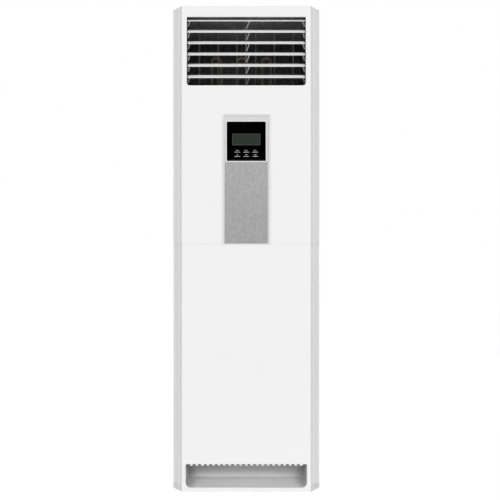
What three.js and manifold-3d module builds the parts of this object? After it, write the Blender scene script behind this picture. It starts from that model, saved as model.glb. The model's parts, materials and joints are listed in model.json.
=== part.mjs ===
// Floor standing air conditioner. Millimetres, +Z up, the front faces -Y.
// The origin is the centre of the footprint, on the floor.
import * as THREE from 'three';
import { mergeVertices } from 'three/addons/utils/BufferGeometryUtils.js';
import Module from 'manifold-3d';

// ---------------------------------------------------------------- casing sizes
const WIDTH = 520; // over the side panels
const DEPTH = 300; // front face to the wall
const HEIGHT = 1700; // floor to top
const CORNER_WIDTH = 35; // width of the faceted corner beside the flat front face
const CORNER_DEPTH = 54; // and its depth
const LOWER_INSET = 1.7; // the lower front panel is this much narrower on each side
const SHELL = 3; // moulded wall of the front panels
const SHEET = 1.5; // folded sheet steel
const FIT = 0.3; // gap between pieces that touch
const PLINTH = 21; // height of the base pan's rim
const PAN_FLOOR = 2; // floor of the base pan
const FLANGE = 14; // folded edge of the side panels
const PANEL_RIB = 15; // depth of the front panels' stiffening edges
const LID_HEIGHT = 20; // turned-down edge of the top cover
const BRACKET_STAND = 3; // the wall bracket stands this far behind the casing
const BRACKET_HEAD = 60; // top of the casing to the wall bracket
const BRACKET_TALL = 80;
const BRACKET_LEAF = 34; // height of the leaf on the rear panel
const BRACKET_BEND = 6; // height of the step between the two leaves
const BRACKET_HALF = 60;
const BRACKET_SLOT_X = 38;
const BRACKET_SLOT = 3; // half height of a slot
const BRACKET_SLOT_HALF = 7;

// shares of the corner's width and depth where its four facets meet
const CORNER_FACETS = [[0, 0], [0.05, 0.04], [0.27, 0.32], [0.53, 0.52], [0.7, 0.74], [1, 1]];

// ---------------------------------------------------------------- air outlet
const OUTLET_SIDE = 52; // side of the casing to the hole in the front
const OUTLET_HEAD = 39; // top of the casing to the hole
const OUTLET_TALL = 239;
const OUTLET_BEVEL = 1.6;
const OUTLET_RADIUS = 9.5; // lower corners
const OUTLET_HEAD_RADIUS = 1.5; // upper corners
const DUCT_WALL = 2.5;
const DUCT_SIDE_ROOM = 1; // the duct is this much wider than the hole on each side
const DUCT_FOOT_ROOM = 3; // this much lower
const DUCT_HEAD_ROOM = 12; // and this much higher
const DUCT_LENGTH = 109;
const DUCT_LIP = 10; // mounting lip round the duct

const LOUVRE_COUNT = 6;
const LOUVRE_HEAD = 3.6; // top of the hole to the top louvre's blade
const LOUVRE_PITCH = 39.8;
const LOUVRE_CHORD = 38;
const LOUVRE_THICK = 2.5;
const LOUVRE_BOW = 1.6; // rise of the blade's curved section
const LOUVRE_TILT = THREE.MathUtils.degToRad(25); // front edge down at rest
const LOUVRE_END_GAP = 2.5; // blade end to duct wall
const LOUVRE_LUG = 13; // pivot to blade
const LOUVRE_PIVOT_Y = 30; // pivots behind the front face
const LOUVRE_PIN = 2; // radius
const LOUVRE_CRANK = 26; // link pin behind the pivot
const LOUVRE_DROP = 8; // and under it
const LUG_REACH = 10.5; // slant of a louvre's end lug, across
const LUG_TAIL = 10; // the end lug reaches this far under the pivot
const LUG_THICK = 3;
const LUG_ROOT = 8; // half width of an end lug where it leaves the blade
const LINK_LUG_REACH = 10.5; // slant of the lug that holds the link's pin, across
const LINK_LUG_NEAR = 2; // that lug leaves the blade from here behind its middle
const LINK_LUG_FAR = 16; // to here
const LINK_NOTCH = 10; // depth of the notch in the blade for the link rod
const LINK_ROOM = 2; // notch beside the rod
const LINK_PIN = 1.6; // radius
const LINK_WIDTH = 2.6; // louvre link rod, across
const LINK_DEPTH = 5.2; // louvre link rod, front to back
const LINK_X = -1; // centre of the louvre link rod
const PIN_PLAY = 0.4; // radial clearance of every pin

const VANE_COUNT = 6;
const VANE_SIDE_ROOM = 41; // duct wall to the outer vanes
const VANE_Y = 78; // vane pivots behind the front face
const VANE_CHORD = 44;
const VANE_THICK = 3.6;
const VANE_END_GAP = 4; // vane to the duct's floor and ceiling
const VANE_PIN = 2.4; // radius
const VANE_CRANK = 20; // vane pivot to link pin
const VANE_NOTCH = 14; // height of the notch over the link
const VANE_LINK_WIDTH = 8;
const VANE_LINK_THICK = 4;
const VANE_LINK_LIFT = 6; // link above the duct's floor
const VANE_LINK_PIN = 1.8; // radius
const SWING_PLACE = 4.5; // swing motor, in vane pitches from the first vane
const SWING_MOTOR_RADIUS = 14;
const SWING_MOTOR_EARS = 20; // half length of its two ears
const SWING_MOTOR_HEIGHT = 20;

// ---------------------------------------------------------------- control panel
const PANEL_HEAD = 378; // top of the casing to the bevelled recess
const PANEL_HALF = 86; // half width of the recess
const PANEL_BEVEL = 8; // edge of the recess to the silver field
const FIELD_SINK = 3; // field behind the front face
const FIELD_THICK = 4;
const INLAY_DEPTH = 1.5; // depth of the pockets in the field
const WINDOW_HALF = 68;
const WINDOW_HEAD = 19; // top of the field to the window
const WINDOW_TALL = 134;
const WINDOW_THICK = 2.5;
const SCREEN_HALF = 49;
const SCREEN_HEAD = 42; // top of the window to the screen
const SCREEN_TALL = 40;
const STRIP_HALF = 74;
const STRIP_GAP = 5; // window to the strip under it
const STRIP_TALL = 285.5;
const STRIP_THICK = 2;
const STRIP_FOOT = 3.5; // strip to the joint between the front panels
const BUTTON_COLUMNS = 3;
const BUTTON_PITCH_X = 31.5;
const BUTTON_ROWS = 2;
const BUTTON_DROP = 23; // screen to the upper row
const BUTTON_PITCH_Z = 15;
const BUTTON_WIDTH = 20;
const BUTTON_HEIGHT = 5;
const BUTTON_END = 1.6; // height of a button's ends, under its arched top
const BUTTON_PLAY = 0.4; // gap round a button
const BUTTON_PROUD = 0.8; // button in front of the window
const BUTTON_TRAVEL = 0.7;
const BUTTON_FLANGE = 1; // retaining edge behind the window
const BOARD_GAP = 7; // control board behind the field
const BOARD_THICK = 1.6;
const BOSS_RADIUS = 3;

// ---------------------------------------------------------------- air inlet
const INLET_SIDE = 48; // side of the casing to the recess in the front
const INLET_LOW = 14;
const INLET_HIGH = 96;
const INLET_RADIUS = 17.5; // lower corners
const INLET_DEPTH = 114;
const INLET_TAPER = 4.5; // the side walls run in by this much
const INLET_BEVEL = 1.2;
const SCOOP_WALL = 2.5;
const SLAT_COUNT = 21;
const SLAT_SIDE_ROOM = 20; // side of the recess to the outer slats
const SLAT_WIDTH = 10.8;
const SLAT_DROP = 5.5; // slats hang this far below the opening's edge
const GRILLE_BAR = 2.6; // thickness of the cross bars over the slats
const FILTER_THICK = 6;
const FILTER_RIM = 8;
const FILTER_NET = 0.8;

// ---------------------------------------------------------------- inner pieces
const FAN_X = -8; // fan axis
const FAN_Z = 560;
const WHEEL_RADIUS = 160;
const WHEEL_WIDTH = 96;
const BLADE_DEPTH = 26; // radial depth of the wheel's blades
const BLADE_COUNT = 20;
const BLADE_THICK = 1.4;
const SCROLL_START = 175; // radius of the scroll at the tongue
const SCROLL_SIDE = 23; // side of the casing to the scroll's outlet
const SCROLL_FRONT = 20; // y of the scroll's front plate
const SCROLL_BACK = 140; // y of the scroll's back plate
const SCROLL_WALL = 2;
const TONGUE_ANGLE = 60;
const EYE_RADIUS = 130; // hole in the scroll's front plate
const SHAFT_RADIUS = 6;
const SHAFT_PLAY = 0.6;
const MOTOR_RADIUS = 56;
const MOTOR_LENGTH = 48;
const BRACKET_PLATE = 3.4;
const DECK_THICK = 2;
const BOX_SIDE = 75; // side of the casing to the electrical box
const BOX_DEPTH = 55;
const BOX_HEIGHT = 220;
const BOX_INSET = 20; // walls of the box to what stands in it
const BOX_BAY = 90; // width beside the board, for terminals and capacitor
const BOX_POST = 12.4; // length of the board's posts
const TERMINAL_TALL = 50;
const CAPACITOR_RADIUS = 17;
const CAPACITOR_TALL = 60;
const COIL_SIDE = 44; // side of the casing to the finned block
const COIL_LENGTH = 500; // along its slope
const COIL_THICK = 44;
const COIL_LEAN = THREE.MathUtils.degToRad(15.7);
const COIL_FOOT_Y = -22;
const COIL_FOOT_HEAD = 552; // top of the casing to the coil's foot
const COIL_RIBS = 18;
const END_PLATE = 1.5;
const END_FOLD = 2; // closed strip at the foot and the head of the fins
const RETURN_BENDS = 5;
const TUBE_RADIUS = 4.8;
const GAS_RADIUS = 8;
const LIQUID_RADIUS = 5;
const GAS_OFFSET = 10; // gas header behind the coil's middle
const LIQUID_OFFSET = -12; // liquid header before it
const GAS_TAP = 72; // foot of the coil to the gas pipe, along the slope
const LIQUID_TAP = 100; // foot of the coil to the liquid pipe
const PIPE_RISE = 90; // the pipes turn toward their port this far above it
const TRAY_FRONT = -64;
const TRAY_BACK = 16;
const TRAY_DROP = 20; // coil's foot to the tray's floor
const TRAY_HEIGHT = 32;
const HEATER_X = [-109, -17.5, 73];
const HEATER_Y = -20;
const HEATER_HEAD = 150; // top of the casing to the heater loops
const HEATER_SPAN = 33; // between the legs' centres
const HEATER_TUBE = 4.5; // radius
const RAIL_HEAD = 370; // top of the casing to the heater rail
const RAIL_HEIGHT = 13;
const RAIL_DEPTH = 24;
const PORT_SIDE = 60; // side of the casing to the pipe port
const PORT_Z = 180;
const PORT_HALF = 24;
const PORT_TALL = 44;
const GLAND_SIDE = 60; // side of the casing to the cord gland
const GLAND_Z = 120;
const GLAND_BORE = 5;

// ---------------------------------------------------------------- worked-out places
const FRONT = -DEPTH / 2;
const REAR_WALL = DEPTH / 2;
const BACK = REAR_WALL - BRACKET_STAND; // rear flanges of the side panels
const HALF = WIDTH / 2;
const CORNER_Y = FRONT + CORNER_DEPTH;
const INNER_HALF = HALF - SHEET - FIT; // what fits between the side panels
const PANEL_BACK = FRONT + SHELL; // inner side of the front panels
const SIDE_LOW = PLINTH + FIT;
const LID_LOW = HEIGHT - LID_HEIGHT;
const FACE_HALF = HALF - CORNER_WIDTH; // half width of the flat front face
const OUTLET_HALF = HALF - OUTLET_SIDE;
const OUTLET_HIGH = HEIGHT - OUTLET_HEAD;
const OUTLET_LOW = OUTLET_HIGH - OUTLET_TALL;
const INLET_HALF = HALF - INLET_SIDE;
const PANEL_TOP = HEIGHT - PANEL_HEAD;
const FIELD_HALF = PANEL_HALF - PANEL_BEVEL;
const FIELD_TOP = PANEL_TOP - PANEL_BEVEL;
const WINDOW_HIGH = FIELD_TOP - WINDOW_HEAD;
const WINDOW_LOW = WINDOW_HIGH - WINDOW_TALL;
const SCREEN_HIGH = WINDOW_HIGH - SCREEN_HEAD;
const SCREEN_LOW = SCREEN_HIGH - SCREEN_TALL;
const STRIP_HIGH = WINDOW_LOW - STRIP_GAP;
const STRIP_LOW = STRIP_HIGH - STRIP_TALL;
const SEAM_Z = STRIP_LOW - STRIP_FOOT; // joint between the lower and the upper front panel
const COIL_HALF = HALF - COIL_SIDE;
const COIL_FOOT_Z = HEIGHT - COIL_FOOT_HEAD;
const PORT_X = PORT_SIDE - HALF;
const GLAND_X = HALF - GLAND_SIDE;

const wasm = await Module();
wasm.setup();

// ---------------------------------------------------------------- solids
// A closed geometry becomes a solid, turned right side out if it was mirrored.
function toSolid(geometry) {
  const bare = geometry.clone();
  bare.deleteAttribute('normal');
  bare.deleteAttribute('uv');
  const merged = mergeVertices(bare, 1e-4);
  const corners = merged.attributes.position.array;
  const triangles = Uint32Array.from(merged.index.array);
  let volume = 0;
  const [a, b, c] = [new THREE.Vector3(), new THREE.Vector3(), new THREE.Vector3()];
  for (let start = 0; start < triangles.length; start += 3) {
    a.fromArray(corners, 3 * triangles[start]);
    b.fromArray(corners, 3 * triangles[start + 1]);
    c.fromArray(corners, 3 * triangles[start + 2]);
    volume += a.dot(b.cross(c));
  }
  if (volume < 0) {
    triangles.reverse();
  }
  return new wasm.Manifold(new wasm.Mesh({
    numProp: 3,
    vertProperties: Float32Array.from(corners),
    triVerts: triangles,
  }));
}

function toGeometry(solid) {
  const { vertProperties, triVerts } = solid.getMesh();
  const geometry = new THREE.BufferGeometry();
  geometry.setAttribute('position', new THREE.BufferAttribute(vertProperties, 3));
  geometry.setIndex(new THREE.BufferAttribute(triVerts, 1));
  geometry.computeVertexNormals();
  return geometry;
}

function join(...solids) {
  return solids.flat().reduce((whole, piece) => whole.add(piece));
}

function cut(solid, ...tools) {
  return tools.flat().reduce((rest, tool) => rest.subtract(tool), solid);
}

function block(x, y, z) {
  const [[x0, x1], [y0, y1], [z0, z1]] = [x, y, z];
  const geometry = new THREE.BoxGeometry(x1 - x0, y1 - y0, z1 - z0);
  geometry.translate((x0 + x1) / 2, (y0 + y1) / 2, (z0 + z1) / 2);
  return toSolid(geometry);
}

// A round bar along 'x', 'y' or 'z' from one place to another on that axis.
function rod(axis, radius, from, to, [x, y, z], sides = 16) {
  const geometry = new THREE.CylinderGeometry(radius, radius, to - from, sides);
  geometry.translate(0, (from + to) / 2, 0);
  if (axis === 'x') {
    geometry.rotateZ(-Math.PI / 2);
  }
  if (axis === 'z') {
    geometry.rotateX(Math.PI / 2);
  }
  geometry.translate(x, y, z);
  return toSolid(geometry);
}

function polygon(points) {
  return new THREE.Shape(points.map(([a, b]) => new THREE.Vector2(a, b)));
}

function circle(radius) {
  return new THREE.Shape().absarc(0, 0, radius, 0, 2 * Math.PI);
}

// A rectangle with one radius for its lower and one for its upper corners.
function rounded([a0, a1], [b0, b1], lower, upper = lower) {
  const shape = new THREE.Shape();
  shape.absarc(a1 - lower, b0 + lower, lower, -Math.PI / 2, 0);
  shape.absarc(a1 - upper, b1 - upper, upper, 0, Math.PI / 2);
  shape.absarc(a0 + upper, b1 - upper, upper, Math.PI / 2, Math.PI);
  shape.absarc(a0 + lower, b0 + lower, lower, Math.PI, 1.5 * Math.PI);
  return shape;
}

// The outline of a sheet that follows a bent line, with its thickness on the line's left.
function strip(points, thickness) {
  const line = points.map(([a, b]) => new THREE.Vector2(a, b));
  const normals = line.slice(1).map((point, index) => {
    const along = point.clone().sub(line[index]).normalize();
    return new THREE.Vector2(-along.y, along.x);
  });
  const inner = line.map((point, index) => {
    const before = normals[Math.max(index - 1, 0)];
    const after = normals[Math.min(index, normals.length - 1)];
    const shift = before.clone().add(after).multiplyScalar(thickness / (1 + before.dot(after)));
    return point.clone().add(shift);
  });
  return new THREE.Shape([...line, ...inner.reverse()]);
}

function extruded(shape, length, curveSegments) {
  return new THREE.ExtrudeGeometry(shape, { depth: length, bevelEnabled: false, curveSegments });
}

// A shape drawn in x, y and drawn out along z.
function prismZ(shape, [low, high], curveSegments = 2) {
  return toSolid(extruded(shape, high - low, curveSegments).translate(0, 0, low));
}

// A shape drawn in x, z and drawn out along y.
function prismY(shape, [low, high], curveSegments = 2) {
  const geometry = extruded(shape, high - low, curveSegments);
  geometry.rotateX(Math.PI / 2);
  return toSolid(geometry.translate(0, high, 0));
}

// A shape drawn in y, z and drawn out along x.
function prismX(shape, [low, high], curveSegments = 2) {
  const geometry = extruded(shape, high - low, curveSegments);
  geometry.rotateY(Math.PI / 2);
  geometry.rotateX(Math.PI / 2);
  return toSolid(geometry.translate(low, 0, 0));
}

// Skin over convex rings that all have the same number of corners.
function loft(rings) {
  const count = rings[0].length;
  const last = (rings.length - 1) * count;
  const triangles = [];
  for (let ring = 0; ring < last; ring += count) {
    for (let corner = 0; corner < count; corner += 1) {
      const [a, b] = [ring + corner, ring + ((corner + 1) % count)];
      triangles.push(a, b, b + count, a, b + count, a + count);
    }
  }
  for (let corner = 1; corner + 1 < count; corner += 1) {
    triangles.push(0, corner + 1, corner);
    triangles.push(last, last + corner, last + corner + 1);
  }
  const geometry = new THREE.BufferGeometry();
  geometry.setAttribute('position', new THREE.Float32BufferAttribute(rings.flat(2), 3));
  geometry.setIndex(triangles);
  return toSolid(geometry);
}

// A ring for loft: a flat outline in x, z held at one y.
function ringAt(y, shape, curveSegments = 2) {
  return shape.getPoints(curveSegments).map((point) => [point.x, y, point.y]);
}

// A turned piece whose axis runs along y. The profile holds [radius, y] corners.
function turned(profile, [x, z], sides = 40) {
  const corners = profile.map(([radius, y]) => new THREE.Vector2(radius, y));
  return toSolid(new THREE.LatheGeometry(corners, sides).translate(x, 0, z));
}

// A path with one section at each listed corner, for bars and tubes that follow it.
class Route extends THREE.Curve {
  constructor(points) {
    super();
    this.points = points;
  }

  getPoint(share) {
    const steps = this.points.length - 1;
    const place = Math.min(Math.max(share, 0), 1) * steps;
    const index = Math.min(Math.floor(place), steps - 1);
    return this.points[index].clone().lerp(this.points[index + 1], place - index);
  }

  getPointAt(share) {
    return this.getPoint(share);
  }

  getTangentAt(share) {
    return this.getTangent(share);
  }

  getSpacedPoints(divisions) {
    return this.getPoints(divisions);
  }
}

// The corners of a route with every inner corner rounded to a bend radius.
function bent(corners, radius, steps = 5) {
  const points = corners.map((corner) => new THREE.Vector3(...corner));
  const path = [points[0]];
  for (let index = 1; index + 1 < points.length; index += 1) {
    const corner = points[index];
    const back = points[index - 1].clone().sub(corner).normalize();
    const ahead = points[index + 1].clone().sub(corner).normalize();
    const half = back.angleTo(ahead) / 2;
    const middle = back.clone().add(ahead).normalize().multiplyScalar(radius / Math.sin(half));
    const centre = corner.clone().add(middle);
    const start = corner.clone().addScaledVector(back, radius / Math.tan(half)).sub(centre);
    const axis = back.clone().cross(ahead).normalize();
    const turn = -(Math.PI - 2 * half);
    for (let step = 0; step <= steps; step += 1) {
      path.push(start.clone().applyAxisAngle(axis, (turn * step) / steps).add(centre));
    }
  }
  path.push(points[points.length - 1]);
  return path;
}

function tube(path, radius, sides = 8) {
  const geometry = new THREE.ExtrudeGeometry(circle(radius), {
    steps: path.length - 1,
    curveSegments: sides / 2,
    extrudePath: new Route(path),
  });
  return toSolid(geometry);
}

function mirrored(solid) {
  const geometry = toGeometry(solid);
  geometry.scale(-1, 1, 1);
  return toSolid(geometry);
}

function placed(solid, change) {
  const geometry = toGeometry(solid);
  change(geometry);
  return toSolid(geometry);
}

// ---------------------------------------------------------------- casing
// Plan of the front panels: faceted corner, flat face, faceted corner.
function frontLine(half) {
  const right = CORNER_FACETS.map(([across, back]) => [
    FACE_HALF + across * (half - FACE_HALF),
    FRONT + back * CORNER_DEPTH,
  ]);
  const left = right.map(([x, y]) => [-x, y]).reverse();
  return [...left, ...right];
}

// A hole through the front panel whose edge is bevelled on the outside.
function bevelledHole([x0, x1], [z0, z1], bevel, lower, upper = lower) {
  const straight = rounded([x0, x1], [z0, z1], lower, upper);
  const wide = rounded([x0 - bevel, x1 + bevel], [z0 - bevel, z1 + bevel], lower + bevel, upper + bevel);
  return join(
    prismY(straight, [FRONT + bevel - 0.01, PANEL_BACK + 1]),
    loft([ringAt(FRONT - 0.01, wide), ringAt(FRONT + bevel, straight)]),
  );
}

// Wall of a front panel between two heights, cut off square behind the corners.
function frontWall(plan, [low, high]) {
  const behind = block([-HALF, HALF], [CORNER_Y, 0], [low - 1, high + 1]);
  return cut(prismZ(strip(plan, SHELL), [low, high]), behind);
}

function upperFrontPanel() {
  const low = SEAM_Z + FIT / 2;
  const plan = frontLine(HALF);
  const edge = block([-HALF, HALF], [FRONT, FRONT + PANEL_RIB], [low, low + SHELL]);
  const held = [-FIELD_HALF - FIT, FIELD_HALF + FIT];
  const under = low - 2 * PANEL_BEVEL;
  const recess = loft([
    ringAt(FRONT - 0.01, rounded([-PANEL_HALF, PANEL_HALF], [under, PANEL_TOP], 1, 5)),
    ringAt(PANEL_BACK + 0.01, rounded(held, [under, FIELD_TOP + FIT], 1, 3)),
  ]);
  const behindRecess = block(
    held,
    [PANEL_BACK, FRONT + PANEL_RIB + 1],
    [low - 1, low + SHELL + 1],
  );
  return cut(
    join(
      frontWall(plan, [low, HEIGHT]),
      prismZ(polygon(plan), [HEIGHT - SHELL, HEIGHT]),
      prismZ(polygon(plan), [low, low + SHELL]).intersect(edge),
    ),
    bevelledHole(
      [-OUTLET_HALF, OUTLET_HALF],
      [OUTLET_LOW, OUTLET_HIGH],
      OUTLET_BEVEL,
      OUTLET_RADIUS,
      OUTLET_HEAD_RADIUS,
    ),
    recess,
    behindRecess,
  );
}

function lowerFrontPanel() {
  const high = SEAM_Z - FIT / 2;
  const plan = frontLine(HALF - LOWER_INSET);
  const edge = block([-HALF, HALF], [FRONT, FRONT + PANEL_RIB], [high - SHELL, high]);
  const underWings = [-1, 1].map((side) => {
    const x = [side * FACE_HALF, side * (HALF + 1)].sort((a, b) => a - b);
    return block(x, [FRONT - 1, CORNER_Y + 1], [-1, SIDE_LOW]);
  });
  const overPan = block([-FACE_HALF - 1, FACE_HALF + 1], [PANEL_BACK, CORNER_Y], [-1, SIDE_LOW]);
  return cut(
    join(
      frontWall(plan, [0, high]),
      prismZ(polygon(plan), [high - SHELL, high]).intersect(edge),
    ),
    bevelledHole([-INLET_HALF, INLET_HALF], [INLET_LOW, INLET_HIGH], INLET_BEVEL, INLET_RADIUS, 3),
    underWings,
    overPan,
  );
}

// A side panel is one sheet folded in at its front and rear edges.
function sidePanel() {
  const front = CORNER_Y + FIT;
  const fold = [[HALF - FLANGE, front], [HALF, front], [HALF, BACK], [HALF - FLANGE, BACK]];
  return prismZ(strip(fold, SHEET), [SIDE_LOW, LID_LOW - FIT]);
}

function rearPanel() {
  const y = [BACK - 2 * SHEET - FIT, BACK - SHEET - FIT];
  const z = [PAN_FLOOR + FIT, HEIGHT - SHEET - FIT];
  const beads = [0.3, 0.5, 0.7].map((share) => {
    const height = z[0] + share * (z[1] - z[0]);
    return rod('x', 4, FLANGE * 2 - HALF, HALF - FLANGE * 2, [0, y[1] - 2.6, height], 10);
  });
  const groove = beads.map((bead) => bead.translate(0, -SHEET, 0));
  return cut(
    join(block([-INNER_HALF, INNER_HALF], y, z), beads.map((bead) => trimFront(bead, y[0]))),
    groove.map((bead) => trimFront(bead, y[0] - 9)),
    prismY(rounded([PORT_X - PORT_HALF, PORT_X + PORT_HALF], [PORT_Z - PORT_TALL, PORT_Z + PORT_TALL], 8),
      [y[0] - 1, y[1] + 1]),
    rod('y', GLAND_BORE + 3 + FIT, y[0] - 1, y[1] + 1, [GLAND_X, 0, GLAND_Z], 20),
  );
}

// What is left of a bead behind the given y.
function trimFront(bead, y) {
  return cut(bead, block([-HALF, HALF], [y - 30, y], [0, HEIGHT]));
}

function topCover() {
  const outer = block([-HALF, HALF], [CORNER_Y + FIT, BACK], [LID_LOW, HEIGHT]);
  const inner = block(
    [SHEET - HALF, HALF - SHEET],
    [CORNER_Y - 1, BACK - SHEET],
    [LID_LOW - 1, HEIGHT - SHEET],
  );
  return cut(outer, inner);
}

function basePan() {
  const plan = [[-HALF, BACK], ...frontLine(HALF), [HALF, BACK]];
  const rim = SHEET;
  const within = [
    [rim - HALF, BACK - rim],
    [rim - HALF, CORNER_Y + 8],
    [9 - FACE_HALF, PANEL_BACK + FIT + rim],
    [FACE_HALF - 9, PANEL_BACK + FIT + rim],
    [HALF - rim, CORNER_Y + 8],
    [HALF - rim, BACK - rim],
  ];
  const scoopHalf = INLET_HALF + SCOOP_WALL + FIT;
  const ribs = [-0.6, -0.2, 0.2, 0.6].map((share) => block(
    [share * HALF - 6, share * HALF + 6],
    [FRONT + 30, BACK - rim - 10],
    [PAN_FLOOR - 0.01, PAN_FLOOR + 5],
  ));
  return cut(
    join(
      cut(prismZ(polygon(plan), [0, PLINTH]), prismZ(polygon(within), [PAN_FLOOR, PLINTH + 1])),
      ribs,
    ),
    block([-HALF, HALF], [FRONT - 1, PANEL_BACK + FIT], [-1, PLINTH + 1]),
    block([-scoopHalf, scoopHalf], [FRONT, PANEL_BACK + 12], [INLET_LOW - SCOOP_WALL - FIT, PLINTH + 1]),
  );
}

// A folded strip: one leaf on the rear panel, the other flat against the wall.
function wallBracket() {
  const seat = BACK - SHEET;
  const top = HEIGHT - BRACKET_HEAD;
  const step = top - BRACKET_LEAF - BRACKET_BEND;
  const foot = top - BRACKET_TALL;
  const wallLeaf = REAR_WALL - SHEET;
  const fold = [[seat, top], [seat, top - BRACKET_LEAF], [wallLeaf, step], [wallLeaf, foot]];
  const middle = (step + foot) / 2;
  const slots = [-BRACKET_SLOT_X, BRACKET_SLOT_X].map((x) => {
    const wide = [x - BRACKET_SLOT_HALF, x + BRACKET_SLOT_HALF];
    const tall = [middle - BRACKET_SLOT, middle + BRACKET_SLOT];
    return prismY(rounded(wide, tall, BRACKET_SLOT - 0.1), [seat - 1, REAR_WALL + 1]);
  });
  return cut(prismX(strip(fold, SHEET), [-BRACKET_HALF, BRACKET_HALF]), slots);
}

function pipePortCover() {
  const rim = 7;
  const plate = rounded(
    [PORT_X - PORT_HALF - rim, PORT_X + PORT_HALF + rim],
    [PORT_Z - PORT_TALL - rim, PORT_Z + PORT_TALL + rim],
    9,
  );
  const y = [BACK - SHEET, BACK + 0.5];
  const score = (radius) => cut(
    rod('y', radius, y[1] - 0.8, y[1] + 1, [PORT_X, 0, PORT_Z], 12),
    rod('y', radius - 1.2, y[1] - 1, y[1] + 2, [PORT_X, 0, PORT_Z], 12),
  );
  return cut(prismY(plate, y), score(12), score(19));
}

function cordGland() {
  const outside = BACK - SHEET - FIT + 0.3;
  const profile = [
    [GLAND_BORE, outside - 8],
    [GLAND_BORE + 2.7, outside - 8],
    [GLAND_BORE + 2.7, outside],
    [GLAND_BORE + 7, outside],
    [GLAND_BORE + 6, outside + 3],
    [GLAND_BORE, outside + 3.6],
    [GLAND_BORE, outside - 8],
  ];
  return turned(profile, [GLAND_X, GLAND_Z], 12);
}

// ---------------------------------------------------------------- air outlet
const DUCT_HALF = OUTLET_HALF + DUCT_SIDE_ROOM;
const DUCT_LOW = OUTLET_LOW - DUCT_FOOT_ROOM;
const DUCT_HIGH = OUTLET_HIGH + DUCT_HEAD_ROOM;
const DUCT_FRONT = PANEL_BACK + FIT;
const DUCT_BACK = DUCT_FRONT + DUCT_LENGTH;
const LOUVRE_Y = FRONT + LOUVRE_PIVOT_Y;
const VANE_PLACE_Y = FRONT + VANE_Y;
const VANE_LINK_Y = VANE_PLACE_Y + VANE_CRANK;
const LINK_LOW = DUCT_LOW + VANE_LINK_LIFT;

function louvrePivot(index) {
  const blade = OUTLET_HIGH - LOUVRE_HEAD - index * LOUVRE_PITCH;
  return [0, LOUVRE_Y, blade - LOUVRE_LUG * Math.cos(LOUVRE_TILT)];
}

function vaneX(index) {
  const reach = DUCT_HALF - VANE_SIDE_ROOM;
  return -reach + (2 * reach * index) / (VANE_COUNT - 1);
}

const SWING_X = vaneX(SWING_PLACE);

function outletFrame() {
  const duct = [[-DUCT_HALF, DUCT_HALF], [DUCT_LOW, DUCT_HIGH]];
  const grown = (amount) => duct.map(([low, high]) => [low - amount, high + amount]);
  const louvreHoles = [...Array(LOUVRE_COUNT).keys()].map((index) => (
    rod('x', LOUVRE_PIN + PIN_PLAY, -HALF, HALF, louvrePivot(index), 6)
  ));
  const vaneHoles = [...Array(VANE_COUNT).keys()].map((index) => (
    rod('z', VANE_PIN + PIN_PLAY, DUCT_LOW - 5, DUCT_HIGH + 5, [vaneX(index), VANE_PLACE_Y, 0], 6)
  ));
  const motorHole = rod('z', VANE_PIN + PIN_PLAY, DUCT_LOW - 5, DUCT_LOW + 5, [SWING_X, VANE_PLACE_Y, 0], 8);
  return cut(
    join(
      prismY(rounded(...grown(DUCT_WALL), 4), [DUCT_FRONT, DUCT_BACK], 1),
      prismY(rounded(...grown(DUCT_WALL + DUCT_LIP), 6), [DUCT_FRONT, DUCT_FRONT + DUCT_WALL], 1),
    ),
    prismY(rounded(...duct, 3), [DUCT_FRONT - 1, DUCT_BACK + 1], 1),
    louvreHoles,
    vaneHoles,
    motorHole,
  );
}

// The bowed section of a louvre, level, with its middle over the pivot.
function louvreSection() {
  const steps = 4;
  const bow = (share) => LOUVRE_BOW * (1 - (2 * share - 1) ** 2);
  const line = (lift, trim) => [...Array(steps + 1).keys()].map((step) => {
    const share = step / steps;
    const reach = (share - 0.5) * (LOUVRE_CHORD - trim);
    return [reach, LOUVRE_LUG - LOUVRE_BOW / 2 + bow(share) + lift];
  });
  const under = line(-LOUVRE_THICK / 2, 1.4);
  const over = line(LOUVRE_THICK / 2, 1.4).reverse();
  const nose = LOUVRE_LUG - LOUVRE_BOW / 2;
  return polygon([...under, [LOUVRE_CHORD / 2, nose], ...over, [-LOUVRE_CHORD / 2, nose]]);
}

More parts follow.
